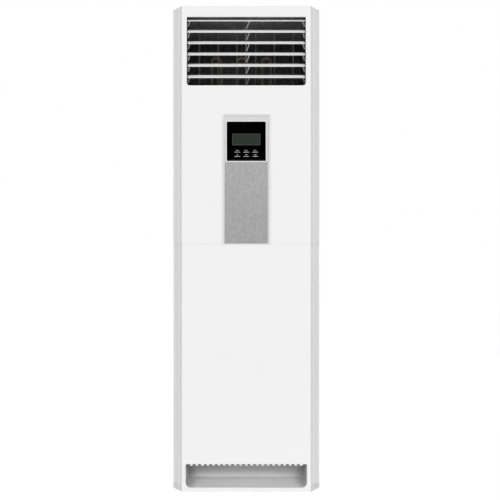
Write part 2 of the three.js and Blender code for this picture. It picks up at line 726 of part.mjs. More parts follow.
// A louvre stands with its pivot on the x axis: blade, end lugs with pins, link lug with pin.
function louvre() {
  const half = DUCT_HALF - LOUVRE_END_GAP;
  const notch = block(
    [LINK_X - LINK_WIDTH / 2 - LINK_ROOM, LINK_X + LINK_WIDTH / 2 + LINK_ROOM],
    [LOUVRE_CHORD / 2 - LINK_NOTCH, LOUVRE_CHORD],
    [0, 2 * LOUVRE_LUG],
  );
  const level = cut(prismX(louvreSection(), [-half, half]), notch);
  const blade = placed(level, (geometry) => geometry.rotateX(LOUVRE_TILT));
  const onBlade = (x, along) => [
    x,
    along * Math.cos(LOUVRE_TILT) - LOUVRE_LUG * Math.sin(LOUVRE_TILT),
    along * Math.sin(LOUVRE_TILT) + LOUVRE_LUG * Math.cos(LOUVRE_TILT),
  ];
  const foot = LOUVRE_PIN + 1.2;
  const root = half - LUG_REACH;
  const tip = half - LUG_THICK;
  const endLug = loft([
    [
      onBlade(root, -LUG_ROOT),
      onBlade(root + LUG_THICK, -LUG_ROOT),
      onBlade(root + LUG_THICK, LUG_ROOT),
      onBlade(root, LUG_ROOT),
    ],
    [[tip, -foot, -LUG_TAIL], [half, -foot, -LUG_TAIL], [half, foot, -LUG_TAIL], [tip, foot, -LUG_TAIL]],
  ]);
  const pin = rod('x', LOUVRE_PIN, half - LUG_REACH / 2, DUCT_HALF + DUCT_WALL - FIT, [0, 0, 0], 6);
  const side = join(endLug, pin);
  const face = LINK_X + LINK_WIDTH / 2 + 0.5;
  const outer = face + LUG_THICK;
  const linkLug = loft([
    [
      onBlade(face + LINK_LUG_REACH, LINK_LUG_NEAR),
      onBlade(outer + LINK_LUG_REACH, LINK_LUG_NEAR),
      onBlade(outer + LINK_LUG_REACH, LINK_LUG_FAR),
      onBlade(face + LINK_LUG_REACH, LINK_LUG_FAR),
    ],
    [
      [face, LOUVRE_CRANK - foot, -LOUVRE_DROP - 1],
      [outer, LOUVRE_CRANK - foot, -LOUVRE_DROP - 1],
      [outer, LOUVRE_CRANK + foot, -LOUVRE_DROP + 1],
      [face, LOUVRE_CRANK + foot, -LOUVRE_DROP + 1],
    ],
  ]);
  const crank = [0, LOUVRE_CRANK, -LOUVRE_DROP];
  const linkPin = rod('x', LINK_PIN, LINK_X - LINK_WIDTH / 2 - 0.6, face + 1, crank, 6);
  const linkBoss = rod('x', LINK_PIN + 2, face, outer, crank, 8);
  return join(blade, side, mirrored(side), linkLug, linkBoss, linkPin);
}

function louvreLink() {
  const x = [LINK_X - LINK_WIDTH / 2, LINK_X + LINK_WIDTH / 2];
  const y = LOUVRE_Y + LOUVRE_CRANK;
  const heights = [...Array(LOUVRE_COUNT).keys()].map((index) => louvrePivot(index)[2] - LOUVRE_DROP);
  const [top, bottom] = [heights[0], heights[LOUVRE_COUNT - 1]];
  const pins = heights.map((height) => [0, y, height]);
  return cut(
    join(
      block(x, [y - LINK_DEPTH / 2, y + LINK_DEPTH / 2], [bottom, top]),
      pins.map((place) => rod('x', LINK_PIN + 3, x[0], x[1], place, 6)),
    ),
    pins.map((place) => rod('x', LINK_PIN + PIN_PLAY, x[0] - 1, x[1] + 1, place, 6)),
  );
}

// A vane stands with its pivot on the z axis, a pin at each end and one over the link.
function vane() {
  const low = DUCT_LOW + VANE_END_GAP;
  const high = DUCT_HIGH - VANE_END_GAP;
  const reach = VANE_CHORD / 2;
  const round = VANE_THICK / 2;
  const section = polygon([
    [0.5, -reach],
    [round, -reach + 6],
    [round, reach - 8],
    [0.6, reach],
    [-0.6, reach],
    [-round, reach - 8],
    [-round, -reach + 6],
    [-0.5, -reach],
  ]);
  const notchTop = LINK_LOW + VANE_LINK_THICK + VANE_NOTCH - VANE_LINK_LIFT;
  const notch = block([-5, 5], [VANE_CRANK / 2, reach + 1], [low - 1, notchTop]);
  const corner = block([-5, 5], [VANE_CRANK / 2, reach + 1], [high - 8, high + 1]);
  return join(
    cut(prismZ(section, [low, high]), notch, corner),
    rod('z', VANE_PIN, DUCT_LOW - DUCT_WALL + FIT, low + 3, [0, 0, 0], 6),
    rod('z', VANE_PIN, high - 3, DUCT_HIGH + DUCT_WALL - FIT, [0, 0, 0], 6),
    rod('z', VANE_LINK_PIN, LINK_LOW - 1, notchTop + 4, [0, VANE_CRANK, 0], 6),
  );
}

function vaneLink() {
  const places = [...[...Array(VANE_COUNT).keys()].map(vaneX), SWING_X];
  const ends = Math.max(...places);
  const round = VANE_LINK_WIDTH / 2;
  const bar = rounded([-ends - round, ends + round], [VANE_LINK_Y - round, VANE_LINK_Y + round], round - 0.1);
  const z = [LINK_LOW, LINK_LOW + VANE_LINK_THICK];
  return cut(
    prismZ(bar, z),
    places.map((x) => rod('z', VANE_LINK_PIN + PIN_PLAY, z[0] - 1, z[1] + 1, [x, VANE_LINK_Y, 0], 8)),
  );
}

// The swing motor's crank: shaft down into the motor, arm, pin up into the link.
function swingCrank() {
  const low = DUCT_LOW + 1;
  const high = LINK_LOW - 1.5;
  const arm = rounded([-4.5, 4.5], [-4.5, VANE_CRANK + 4.5], 4.4);
  return join(
    prismZ(arm, [low, high]),
    rod('z', VANE_PIN, DUCT_LOW - DUCT_WALL - SWING_MOTOR_HEIGHT / 2, low + 1, [0, 0, 0], 8),
    rod('z', VANE_LINK_PIN, high - 1, LINK_LOW + VANE_LINK_THICK + 0.5, [0, VANE_CRANK, 0], 8),
  );
}

function swingMotor() {
  const top = DUCT_LOW - DUCT_WALL - FIT;
  const ears = rounded([-SWING_MOTOR_EARS, SWING_MOTOR_EARS], [-5, 5], 4.9);
  return cut(
    join(
      rod('z', SWING_MOTOR_RADIUS, top - SWING_MOTOR_HEIGHT, top, [0, 0, 0], 12),
      prismZ(ears, [top - SHEET, top]),
      block([-8, 8], [SWING_MOTOR_RADIUS - 3, SWING_MOTOR_RADIUS + 4], [top - SWING_MOTOR_HEIGHT, top - 4]),
    ),
    rod('z', VANE_PIN + PIN_PLAY, top - SWING_MOTOR_HEIGHT * 0.7, top + 1, [0, 0, 0], 8),
  );
}

// ---------------------------------------------------------------- control panel
const FIELD_Y = FRONT + FIELD_SINK;
const FIELD_BACK = FIELD_Y + FIELD_THICK;
const POCKET_Y = FIELD_Y + INLAY_DEPTH;
const WINDOW_BACK = POCKET_Y - FIT;
const WINDOW_FRONT = WINDOW_BACK - WINDOW_THICK;
const BOARD_Y = FIELD_BACK + BOARD_GAP;

function buttonPlaces() {
  return [...Array(BUTTON_ROWS).keys()].flatMap((row) => (
    [...Array(BUTTON_COLUMNS).keys()].map((column) => (
      [(column - (BUTTON_COLUMNS - 1) / 2) * BUTTON_PITCH_X, 0, KEYS_UPPER - row * BUTTON_PITCH_Z]
    ))
  ));
}

// The outline of a button: flat below, arched above, grown on every side by an amount.
function keyShape([x, , z], grow) {
  const half = BUTTON_WIDTH / 2 + grow;
  const low = z - BUTTON_HEIGHT / 2 - grow;
  const rise = BUTTON_HEIGHT - BUTTON_END;
  const steps = 6;
  const arch = [...Array(steps + 1).keys()].map((step) => {
    const share = 1 - (2 * step) / steps;
    return [x + half * share, low + BUTTON_END + 2 * grow + rise * (1 - share * share)];
  });
  return polygon([[x - half, low], [x + half, low], ...arch]);
}

const KEYS_HALF = BUTTON_PITCH_X * (BUTTON_COLUMNS - 1) / 2 + BUTTON_WIDTH / 2 + BUTTON_FLANGE + 0.7;
const KEYS_EDGE = BUTTON_HEIGHT / 2 + BUTTON_FLANGE + 2.5;
const KEYS_UPPER = SCREEN_LOW - BUTTON_DROP;
const KEYS_LOW = KEYS_UPPER - (BUTTON_ROWS - 1) * BUTTON_PITCH_Z - KEYS_EDGE;
const KEYS_HIGH = KEYS_UPPER + KEYS_EDGE;
const BOSS_X = KEYS_HALF + BOSS_RADIUS + 2;
const BOSS_ROWS = [KEYS_LOW + BOSS_RADIUS, SCREEN_HIGH + BOSS_RADIUS + 4];

function controlBezel() {
  const field = rounded([-FIELD_HALF, FIELD_HALF], [SEAM_Z + FIT, FIELD_TOP], 0.5, 3);
  const windowPocket = block(
    [-WINDOW_HALF - FIT, WINDOW_HALF + FIT],
    [FIELD_Y - 1, POCKET_Y],
    [WINDOW_LOW - FIT, WINDOW_HIGH + FIT],
  );
  const stripPocket = block(
    [-STRIP_HALF - FIT, STRIP_HALF + FIT],
    [FIELD_Y - 1, POCKET_Y],
    [STRIP_LOW - FIT, STRIP_HIGH + FIT],
  );
  const through = [POCKET_Y - 1, FIELD_BACK + 1];
  const screenHole = block([-SCREEN_HALF, SCREEN_HALF], through, [SCREEN_LOW, SCREEN_HIGH]);
  const keysHole = block([-KEYS_HALF, KEYS_HALF], through, [KEYS_LOW, KEYS_HIGH]);
  const bosses = BOSS_ROWS.flatMap((z) => [-BOSS_X, BOSS_X].map((x) => (
    rod('y', BOSS_RADIUS, FIELD_BACK - 1, BOARD_Y - FIT, [x, 0, z], 8)
  )));
  return join(
    cut(prismY(field, [FIELD_Y, FIELD_BACK]), windowPocket, stripPocket, screenHole, keysHole),
    bosses,
  );
}

function displayWindow() {
  const through = [WINDOW_FRONT - 1, WINDOW_BACK + 1];
  const holes = buttonPlaces().map((place) => prismY(keyShape(place, BUTTON_PLAY), through));
  const screen = [[FIT - SCREEN_HALF, SCREEN_HALF - FIT], [SCREEN_LOW + FIT, SCREEN_HIGH - FIT]];
  return cut(
    prismY(rounded([-WINDOW_HALF, WINDOW_HALF], [WINDOW_LOW, WINDOW_HIGH], 2), [WINDOW_FRONT, WINDOW_BACK]),
    block(screen[0], through, screen[1]),
    holes,
  );
}

// The screen: a lens in the window's opening and a thicker housing in front of the board.
function lcdModule() {
  const lens = 2 * FIT;
  const shoulder = WINDOW_BACK + FIT;
  return join(
    block(
      [lens - SCREEN_HALF, SCREEN_HALF - lens],
      [WINDOW_FRONT + FIT, shoulder + 1],
      [SCREEN_LOW + lens, SCREEN_HIGH - lens],
    ),
    block(
      [FIT - SCREEN_HALF, SCREEN_HALF - FIT],
      [shoulder, BOARD_Y - FIT],
      [SCREEN_LOW + FIT, SCREEN_HIGH - FIT],
    ),
  );
}

function trimStrip() {
  const outline = rounded([-STRIP_HALF, STRIP_HALF], [STRIP_LOW, STRIP_HIGH], 1.5);
  const inner = rounded([0.6 - STRIP_HALF, STRIP_HALF - 0.6], [STRIP_LOW + 0.6, STRIP_HIGH - 0.6], 1.2);
  const back = POCKET_Y - FIT;
  return loft([
    ringAt(back - STRIP_THICK, inner),
    ringAt(back - STRIP_THICK + 0.6, outline),
    ringAt(back, outline),
  ]);
}

// Cap with a softened edge, retaining flange and stem.
function button(place) {
  const front = WINDOW_FRONT - BUTTON_PROUD;
  const flange = WINDOW_BACK + FIT;
  const cap = keyShape(place, 0);
  return join(
    loft([ringAt(front, keyShape(place, -0.4)), ringAt(front + 0.5, cap), ringAt(flange + 0.2, cap)]),
    prismY(keyShape(place, BUTTON_FLANGE), [flange, flange + 1.2]),
    rod('y', 1.6, flange + 1, SWITCH_FRONT - BUTTON_TRAVEL - FIT, place, 6),
  );
}

const SWITCH_HEIGHT = 3.5;
const SWITCH_FRONT = BOARD_Y - SWITCH_HEIGHT;

function controlBoard() {
  const half = BOSS_X + BOSS_RADIUS + 2;
  const z = [BOSS_ROWS[0] - BOSS_RADIUS - 2, BOSS_ROWS[1] + BOSS_RADIUS + 2];
  const switches = buttonPlaces().map(([x, , height]) => join(
    block([x - 3, x + 3], [SWITCH_FRONT + 1, BOARD_Y + 0.5], [height - 3, height + 3]),
    rod('y', 1.7, SWITCH_FRONT, SWITCH_FRONT + 2, [x, 0, height], 6),
  ));
  const connector = block([-14, 14], [BOARD_Y + 1, BOARD_Y + BOARD_THICK + 8], [z[1] - 22, z[1] - 14]);
  return join(block([-half, half], [BOARD_Y, BOARD_Y + BOARD_THICK], z), switches, connector);
}

// ---------------------------------------------------------------- air inlet
const SCOOP_FRONT = PANEL_BACK + FIT;
const SCOOP_BACK = SCOOP_FRONT + INLET_DEPTH;
const GRILLE_LOW = INLET_HIGH - SLAT_DROP;
const GRILLE_TOP = INLET_HIGH + GRILLE_BAR;

function inletScoop() {
  const tall = INLET_HIGH + 2 * INLET_RADIUS;
  const ring = (y, half, wall) => ringAt(y, rounded(
    [-half - wall, half + wall],
    [INLET_LOW - wall, tall + wall],
    INLET_RADIUS + wall,
  ));
  const outside = loft([
    ring(SCOOP_FRONT, INLET_HALF, SCOOP_WALL),
    ring(SCOOP_BACK + SCOOP_WALL, INLET_HALF - INLET_TAPER, SCOOP_WALL),
  ]);
  const inside = loft([
    ring(SCOOP_FRONT - 0.01, INLET_HALF, 0),
    ring(SCOOP_BACK, INLET_HALF - INLET_TAPER, 0),
  ]);
  const above = block([-HALF, HALF], [FRONT, SCOOP_BACK + 20], [INLET_HIGH - FIT, tall + 20]);
  return cut(outside, inside, above);
}

// Slats run front to back under cross bars; their rounded front ends show as teeth.
function inletGrille() {
  const y = [SCOOP_FRONT, SCOOP_BACK - 1];
  const reach = INLET_HALF - SLAT_SIDE_ROOM;
  const side = [[0, INLET_HIGH + 0.4], [0, GRILLE_LOW + 2.6], [2.8, GRILLE_LOW]];
  const slat = (x) => prismY(polygon([
    ...side.map(([inset, z]) => [x - SLAT_WIDTH / 2 + inset, z]),
    ...side.map(([inset, z]) => [x + SLAT_WIDTH / 2 - inset, z]).reverse(),
  ]), y);
  const slats = [...Array(SLAT_COUNT).keys()].map((index) => (
    slat(-reach + (2 * reach * index) / (SLAT_COUNT - 1))
  ));
  const bars = [0, 1].map((share) => {
    const middle = y[0] + 4.5 + share * (y[1] - y[0] - 9);
    return block([-INLET_HALF, INLET_HALF], [middle - 4.5, middle + 4.5], [INLET_HIGH, GRILLE_TOP]);
  });
  return join(bars, slats);
}

function airFilter() {
  const half = INLET_HALF - 4;
  const x = [-half, half];
  const y = [PANEL_BACK + 12.5, SCOOP_BACK];
  const z = [GRILLE_TOP + FIT, GRILLE_TOP + FIT + FILTER_THICK];
  const bays = 6;
  const bar = 3;
  const width = (2 * half - 2 * FILTER_RIM + bar) / bays;
  const holes = [...Array(bays).keys()].map((bay) => {
    const start = FILTER_RIM - half + bay * width;
    return block(
      [start, start + width - bar],
      [y[0] + FILTER_RIM, y[1] - FILTER_RIM],
      [z[0] - 1, z[1] + 1],
    );
  });
  const net = z[0] + FILTER_THICK / 2;
  return join(
    cut(block(x, y, z), holes),
    block([x[0] + 1, x[1] - 1], [y[0] + 1, y[1] - 1], [net, net + FILTER_NET]),
  );
}

// ---------------------------------------------------------------- fan and deck
const DECK_LOW = SEAM_Z + 1;
const DECK_TOP = DECK_LOW + DECK_THICK;
const SCROLL_TOP = DECK_LOW - FIT;
const SCROLL_END = HALF - SCROLL_SIDE - FAN_X; // radius where the scroll turns into the outlet
const BOX_HALF = HALF - BOX_SIDE;
const FAN = [FAN_X, FAN_Z];

// Outline of the scroll: outlet, tongue, spiral, outlet. wall is taken off all round.
function scrollOutline(wall, top) {
  const steps = 20;
  const start = THREE.MathUtils.degToRad(TONGUE_ANGLE);
  const spiral = [...Array(steps + 1).keys()].map((step) => {
    const share = step / steps;
    const angle = start + share * (2 * Math.PI - start);
    const radius = SCROLL_START + share * (SCROLL_END - SCROLL_START) - wall;
    return [FAN_X + radius * Math.cos(angle), FAN_Z + radius * Math.sin(angle)];
  });
  const left = FAN_X + SCROLL_START * Math.cos(start) + wall;
  const tongue = FAN_Z + SCROLL_START * Math.sin(start);
  return polygon([[left, top], [left, tongue], ...spiral, [FAN_X + SCROLL_END - wall, top]]);
}

function scrollHousing() {
  const within = [SCROLL_FRONT + SCROLL_WALL, SCROLL_BACK - SCROLL_WALL];
  return cut(
    prismY(scrollOutline(0, SCROLL_TOP), [SCROLL_FRONT, SCROLL_BACK]),
    prismY(scrollOutline(SCROLL_WALL, SCROLL_TOP + 1), within),
    rod('y', EYE_RADIUS, SCROLL_FRONT - 1, SCROLL_FRONT + SCROLL_WALL + 1, [FAN_X, 0, FAN_Z], 28),
  );
}

// The bell mouth that leads air into the wheel's eye.
function inletRing() {
  const seat = SCROLL_FRONT - FIT;
  const mouth = EYE_RADIUS - 10;
  const profile = [
    [EYE_RADIUS + 18, seat - 2],
    [EYE_RADIUS + 18, seat],
    [EYE_RADIUS - 2, seat],
    [mouth + 2, seat + 4],
    [mouth + 2, seat + 12],
    [mouth, seat + 12],
    [mouth, seat + 3],
    [mouth + 5, seat - 2],
    [EYE_RADIUS + 18, seat - 2],
  ];
  return turned(profile, FAN, 18);
}

const MOTOR_BACK = SCROLL_BACK - SCROLL_WALL - FIT - BRACKET_PLATE - FIT;
const MOTOR_FRONT = MOTOR_BACK - MOTOR_LENGTH;
const WHEEL_BACK = SCROLL_BACK - 12;
const WHEEL_FRONT = WHEEL_BACK - WHEEL_WIDTH;

// Wheel with a dished back plate over the motor, forward curved blades and an eye ring.
function blowerWheel() {
  const inner = WHEEL_RADIUS - BLADE_DEPTH;
  const cup = MOTOR_RADIUS + 10;
  const dish = MOTOR_FRONT - 8;
  const profile = [
    [0, dish - 12],
    [16, dish - 12],
    [16, dish - 4],
    [cup, dish],
    [cup + 6, WHEEL_BACK - 10],
    [inner - 4, WHEEL_BACK - 2],
    [WHEEL_RADIUS, WHEEL_BACK - 2],
    [WHEEL_RADIUS, WHEEL_BACK],
    [inner - 5, WHEEL_BACK],
    [cup + 4, WHEEL_BACK - 8],
    [cup - 2, dish + 3],
    [SHAFT_RADIUS, dish - 2],
    [SHAFT_RADIUS, MOTOR_FRONT + 10],
    [0, MOTOR_FRONT + 10],
  ];
  const eye = [
    [inner - 3, WHEEL_FRONT],
    [WHEEL_RADIUS, WHEEL_FRONT],
    [WHEEL_RADIUS, WHEEL_FRONT + 2],
    [inner - 3, WHEEL_FRONT + 2],
    [inner - 3, WHEEL_FRONT],
  ];
  const curve = [0, 1, 2].map((step) => {
    const share = step / 2;
    const radius = inner + share * (BLADE_DEPTH - 0.5);
    const swept = 0.16 * share * share;
    return [radius * Math.cos(swept), radius * Math.sin(swept)];
  });
  const blade = prismY(strip(curve, BLADE_THICK), [WHEEL_FRONT + 1, WHEEL_BACK - 1]);
  const blades = [...Array(BLADE_COUNT).keys()].map((index) => (
    blade.rotate(0, (360 * index) / BLADE_COUNT, 0).translate(FAN_X, 0, FAN_Z)
  ));
  return join(turned(profile, FAN, 20), turned(eye, FAN, 20), blades);
}

function fanMotor() {
  const profile = [
    [0, MOTOR_FRONT + 12],
    [SHAFT_RADIUS + SHAFT_PLAY, MOTOR_FRONT + 12],
    [SHAFT_RADIUS + SHAFT_PLAY, MOTOR_FRONT - 5],
    [16, MOTOR_FRONT - 5],
    [18, MOTOR_FRONT],
    [MOTOR_RADIUS - 8, MOTOR_FRONT],
    [MOTOR_RADIUS, MOTOR_FRONT + 8],
    [MOTOR_RADIUS, MOTOR_BACK - 16],
    [MOTOR_RADIUS + 4, MOTOR_BACK - 12],
    [MOTOR_RADIUS - 6, MOTOR_BACK],
    [0, MOTOR_BACK],
  ];
  return turned(profile, FAN, 16);
}

// Four arms that carry the motor on the scroll's back plate.
function motorBracket() {
  const y = [MOTOR_BACK + FIT, MOTOR_BACK + FIT + BRACKET_PLATE];
  const place = [FAN_X, 0, FAN_Z];
  const reach = WHEEL_RADIUS - 6;
  const arm = [-1, 1].map((side) => [
    block([FAN_X - 11, FAN_X + 11], y, [FAN_Z, FAN_Z + side * reach].sort((a, b) => a - b)),
    block([FAN_X, FAN_X + side * reach].sort((a, b) => a - b), y, [FAN_Z - 11, FAN_Z + 11]),
  ]);
  return cut(
    join(rod('y', MOTOR_RADIUS, y[0], y[1], place, 16), arm.flat()),
    rod('y', MOTOR_RADIUS - 22, y[0] - 1, y[1] + 1, place, 12),
  );
}

function blowerDeck() {
  const front = FRONT + PANEL_RIB + FIT;
  const plan = [
    [-INNER_HALF, BACK - 2 * SHEET - 2 * FIT],
    [-INNER_HALF, CORNER_Y + 26],
    [13 - FACE_HALF, front],
    [FACE_HALF - 13, front],
    [INNER_HALF, CORNER_Y + 26],
    [INNER_HALF, BACK - 2 * SHEET - 2 * FIT],
  ];
  const left = FAN_X + SCROLL_START * Math.cos(THREE.MathUtils.degToRad(TONGUE_ANGLE)) + SCROLL_WALL;
  const outlet = block(
    [left, FAN_X + SCROLL_END - SCROLL_WALL],
    [SCROLL_FRONT + SCROLL_WALL, SCROLL_BACK - SCROLL_WALL],
    [DECK_LOW - 1, DECK_TOP + 1],
  );
  const pipes = block(
    [-HALF, GAS_X + GAS_RADIUS + 3],
    [GAS_Y - GAS_RADIUS - 3, LIQUID_Y + LIQUID_RADIUS + 3],
    [DECK_LOW - 1, DECK_TOP + 1],
  );
  return cut(prismZ(polygon(plan), [DECK_LOW, DECK_TOP]), outlet, pipes);
}

// Folded tray with a lid lip, louvred on both ends.
function electricalBox() {
  const front = FRONT + 24;
  const z = [DECK_TOP + FIT, DECK_TOP + FIT + BOX_HEIGHT];
  const y = [front, front + BOX_DEPTH];
  const slots = [0.35, 0.45, 0.55, 0.65].map((share) => {
    const height = z[0] + share * BOX_HEIGHT;
    return block([-BOX_HALF - 1, BOX_HALF + 1], [y[0] + 12, y[1] - 12], [height - 2.5, height + 2.5]);
  });
  const shell = cut(
    block([-BOX_HALF, BOX_HALF], y, z),
    block([SHEET - BOX_HALF, BOX_HALF - SHEET], [y[0] - 1, y[1] - SHEET], [z[0] + SHEET, z[1] - SHEET]),
    slots,
  );
  const boardY = y[1] - BOX_POST;
  const boardX = [BOX_INSET - BOX_HALF, BOX_HALF - BOX_BAY];
  const boardZ = [z[0] + BOX_INSET, z[1] - BOX_INSET];
  const board = block(boardX, [boardY - BOARD_THICK, boardY], boardZ);
  const corners = [boardX[0] + 10, boardX[1] - 10].flatMap((x) => (
    [boardZ[0] + 10, boardZ[1] - 10].map((height) => [x, 0, height])
  ));
  const posts = corners.map((corner) => rod('y', 3, boardY - 0.5, y[1] - 1, corner, 6));
  const bay = [BOX_HALF - BOX_BAY + BOX_INSET, BOX_HALF - BOX_INSET];
  const middle = [(bay[0] + bay[1]) / 2, y[1] - CAPACITOR_RADIUS];
  const foot = boardZ[0] + TERMINAL_TALL + 2 * BOX_INSET;
  return join(
    shell,
    board,
    posts,
    block(bay, [y[1] - 22, y[1] - 1], [boardZ[0], boardZ[0] + TERMINAL_TALL]),
    rod('z', CAPACITOR_RADIUS, foot, foot + CAPACITOR_TALL, [...middle, 0], 10),
  );
}

// ---------------------------------------------------------------- coil and pipes
const HEADER_X = -COIL_HALF - END_PLATE - FIT - 14;
const GAS_X = -INNER_HALF + GAS_RADIUS + 12;
const GAS_Y = 100;
const LIQUID_X = -INNER_HALF + LIQUID_RADIUS + 6;
const LIQUID_Y = 121;
const TRAY_LOW = COIL_FOOT_Z - TRAY_DROP;
const HEATER_TOP = HEIGHT - HEATER_HEAD;
const RAIL_Z = HEIGHT - RAIL_HEAD;

// Pieces of the coil are drawn upright at the origin and leaned back about its foot.
function leaned(solid) {
  return placed(solid, (geometry) => {
    geometry.rotateX(-COIL_LEAN);
    geometry.translate(0, COIL_FOOT_Y, COIL_FOOT_Z);
  });
}

// A place given by its height along the slope and its offset through the thickness.
function onCoil(x, along, offset) {
  return [
    x,
    COIL_FOOT_Y + along * Math.sin(COIL_LEAN) + offset * Math.cos(COIL_LEAN),
    COIL_FOOT_Z + along * Math.cos(COIL_LEAN) - offset * Math.sin(COIL_LEAN),
  ];
}

// Block of fins: a comb on its front and on its back, closed by the last fins' folded ends.
function evaporatorFins() {
  const pitch = (2 * COIL_HALF) / COIL_RIBS;
  const deep = COIL_THICK / 2;
  const shallow = deep - 5;
  const tooth = (x, side) => [
    [x, side * shallow],
    [x + 0.2 * pitch, side * deep],
    [x + 0.45 * pitch, side * deep],
    [x + 0.65 * pitch, side * shallow],
  ];
  const front = [...Array(COIL_RIBS).keys()].flatMap((rib) => tooth(rib * pitch - COIL_HALF, -1));
  const back = [...Array(COIL_RIBS).keys()].flatMap((rib) => tooth(rib * pitch - COIL_HALF, 1)).reverse();
  const ends = [[0, END_FOLD], [COIL_LENGTH - END_FOLD, COIL_LENGTH]].map((along) => (
    block([-COIL_HALF, COIL_HALF], [-deep, deep], along)
  ));
  return leaned(join(prismZ(polygon([...front, ...back]), [0, COIL_LENGTH]), ends));
}

function endPlate(side) {
  const inner = COIL_HALF + FIT;
  const x = [side * inner, side * (inner + END_PLATE)].sort((a, b) => a - b);
  const flange = [side * inner, side * INNER_HALF].sort((a, b) => a - b);
  const deep = COIL_THICK / 2;
  return join(
    block(x, [-deep, deep], [0, COIL_LENGTH]),
    block(flange, [deep - END_PLATE, deep], [COIL_LENGTH * 0.5, COIL_LENGTH * 0.72]),
  );
}

function evaporatorBends() {
  const x = COIL_HALF + FIT + END_PLATE;
  const spacing = COIL_LENGTH / (RETURN_BENDS * 2 + 1);
  const bends = [...Array(RETURN_BENDS).keys()].map((index) => {
    const low = spacing * (2 * index + 1);
    const offset = index % 2 === 0 ? 9 : -9;
    const corners = [
      [x - 0.5, offset, low],
      [x + 9 + spacing / 2, offset, low],
      [x + 9 + spacing / 2, offset, low + spacing],
      [x - 0.5, offset, low + spacing],
    ];
    return tube(bent(corners, spacing / 2 - 0.4, 2), TUBE_RADIUS, 6);
  });
  return leaned(join(endPlate(1), bends));
}

// End plate with the gas header and the thinner liquid header, each on its stubs.
function evaporatorHeaders() {
  const plate = -COIL_HALF - FIT - END_PLATE;
  const header = (radius, offset, low, high) => join(
    rod('z', radius, low, high, [HEADER_X, offset, 0], 8),
    [0.15, 0.5, 0.84].map((share) => (
      rod('x', 3.5, HEADER_X, plate + 0.5, [0, offset, low + share * (high - low)], 6)
    )),
  );
  return leaned(join(
    endPlate(-1),
    header(GAS_RADIUS, GAS_OFFSET, 50, COIL_LENGTH - 40),
    header(LIQUID_RADIUS, LIQUID_OFFSET, 75, COIL_LENGTH - 70),
  ));
}

function gasPipe() {
  const start = onCoil(HEADER_X, GAS_TAP, GAS_OFFSET);
  const y = start[1] + GAS_RADIUS / Math.cos(COIL_LEAN) + GAS_RADIUS * Math.tan(COIL_LEAN) + FIT;
  const back = BACK - 2 * SHEET - 2 * FIT;
  const port = PORT_Z + PORT_TALL / 2;
  const corners = [
    [start[0], y, start[2]],
    [GAS_X, GAS_Y, start[2]],
    [GAS_X, GAS_Y, port + PIPE_RISE],
    [PORT_X, GAS_Y, port],
    [PORT_X, back, port],
  ];
  return tube(bent(corners, 22, 3), GAS_RADIUS, 8);
}

function liquidPipe() {
  const start = onCoil(HEADER_X, LIQUID_TAP, LIQUID_OFFSET);
  const back = BACK - 2 * SHEET - 2 * FIT;
  const port = PORT_Z - PORT_TALL / 2;
  const corners = [
    [start[0] - LIQUID_RADIUS - FIT, start[1], start[2]],
    [LIQUID_X, start[1], start[2]],
    [LIQUID_X, LIQUID_Y, start[2]],
    [LIQUID_X, LIQUID_Y, port + PIPE_RISE],
    [PORT_X, LIQUID_Y - 10, port],
    [PORT_X, back, port],
  ];
  return tube(bent(corners, 7, 3), LIQUID_RADIUS, 6);
}

// Trough with sloped ends under the coil, and a drain stub on its underside.
function drainPan() {
  const section = strip([
    [TRAY_FRONT - 6, TRAY_LOW + TRAY_HEIGHT],
    [TRAY_FRONT, TRAY_LOW + TRAY_HEIGHT],
    [TRAY_FRONT + 10, TRAY_LOW],
    [TRAY_BACK - 8, TRAY_LOW],
    [TRAY_BACK, TRAY_LOW + TRAY_HEIGHT],
  ], SHEET);
  const full = polygon([
    [TRAY_FRONT, TRAY_LOW + TRAY_HEIGHT],
    [TRAY_FRONT + 10, TRAY_LOW],
    [TRAY_BACK - 8, TRAY_LOW],
    [TRAY_BACK, TRAY_LOW + TRAY_HEIGHT],
  ]);
  const stub = [HEADER_X + 30, (TRAY_FRONT + TRAY_BACK) / 2];
  const seat = onCoil(0, 0, 0);
  const trough = join(
    prismX(section, [-INNER_HALF, INNER_HALF]),
    prismX(full, [-INNER_HALF, -INNER_HALF + SHEET]),
    prismX(full, [INNER_HALF - SHEET, INNER_HALF]),
    rod('z', 9, TRAY_LOW - 26, TRAY_LOW + 0.5, [...stub, 0], 10),
  );
  const rest = [-0.6, 0, 0.6].map((share) => block(
    [share * COIL_HALF - 8, share * COIL_HALF + 8],
    [seat[1] - 12, seat[1] + 12],
    [TRAY_LOW + 0.2, COIL_FOOT_Z - COIL_THICK / 2 * Math.sin(COIL_LEAN) - FIT],
  ));
  const drain = rod('z', 6, TRAY_LOW - 30, TRAY_LOW + 5, [...stub, 0], 10);
  return cut(join(trough, rest), drain);
}

// ---------------------------------------------------------------- heater
function heaterLoop(x) {
  const radius = HEATER_SPAN / 2;
  const foot = RAIL_Z - RAIL_HEIGHT;
  const top = HEATER_TOP - HEATER_TUBE;
  const path = bent(
    [
      [x - radius, HEATER_Y, foot],
      [x - radius, HEATER_Y, top],
      [x + radius, HEATER_Y, top],
      [x + radius, HEATER_Y, foot],
    ],
    radius - 0.2,
    5,
  );
  return tube(path, HEATER_TUBE, 8);
}

// Channel across the casing whose web has a hole for each heater leg.
function heaterRail() {
  const y = [HEATER_Y - RAIL_DEPTH / 2, HEATER_Y + RAIL_DEPTH / 2];
  const low = RAIL_Z - RAIL_HEIGHT;
  const channel = strip([[y[1], low], [y[1], RAIL_Z], [y[0], RAIL_Z], [y[0], low]], SHEET);
  const holes = HEATER_X.flatMap((x) => [-0.5, 0.5].map((side) => (
    rod('z', HEATER_TUBE + PIN_PLAY, low - 1, RAIL_Z + 1, [x + side * HEATER_SPAN, HEATER_Y, 0], 8)
  )));
  return cut(prismX(channel, [-INNER_HALF, INNER_HALF]), holes);
}

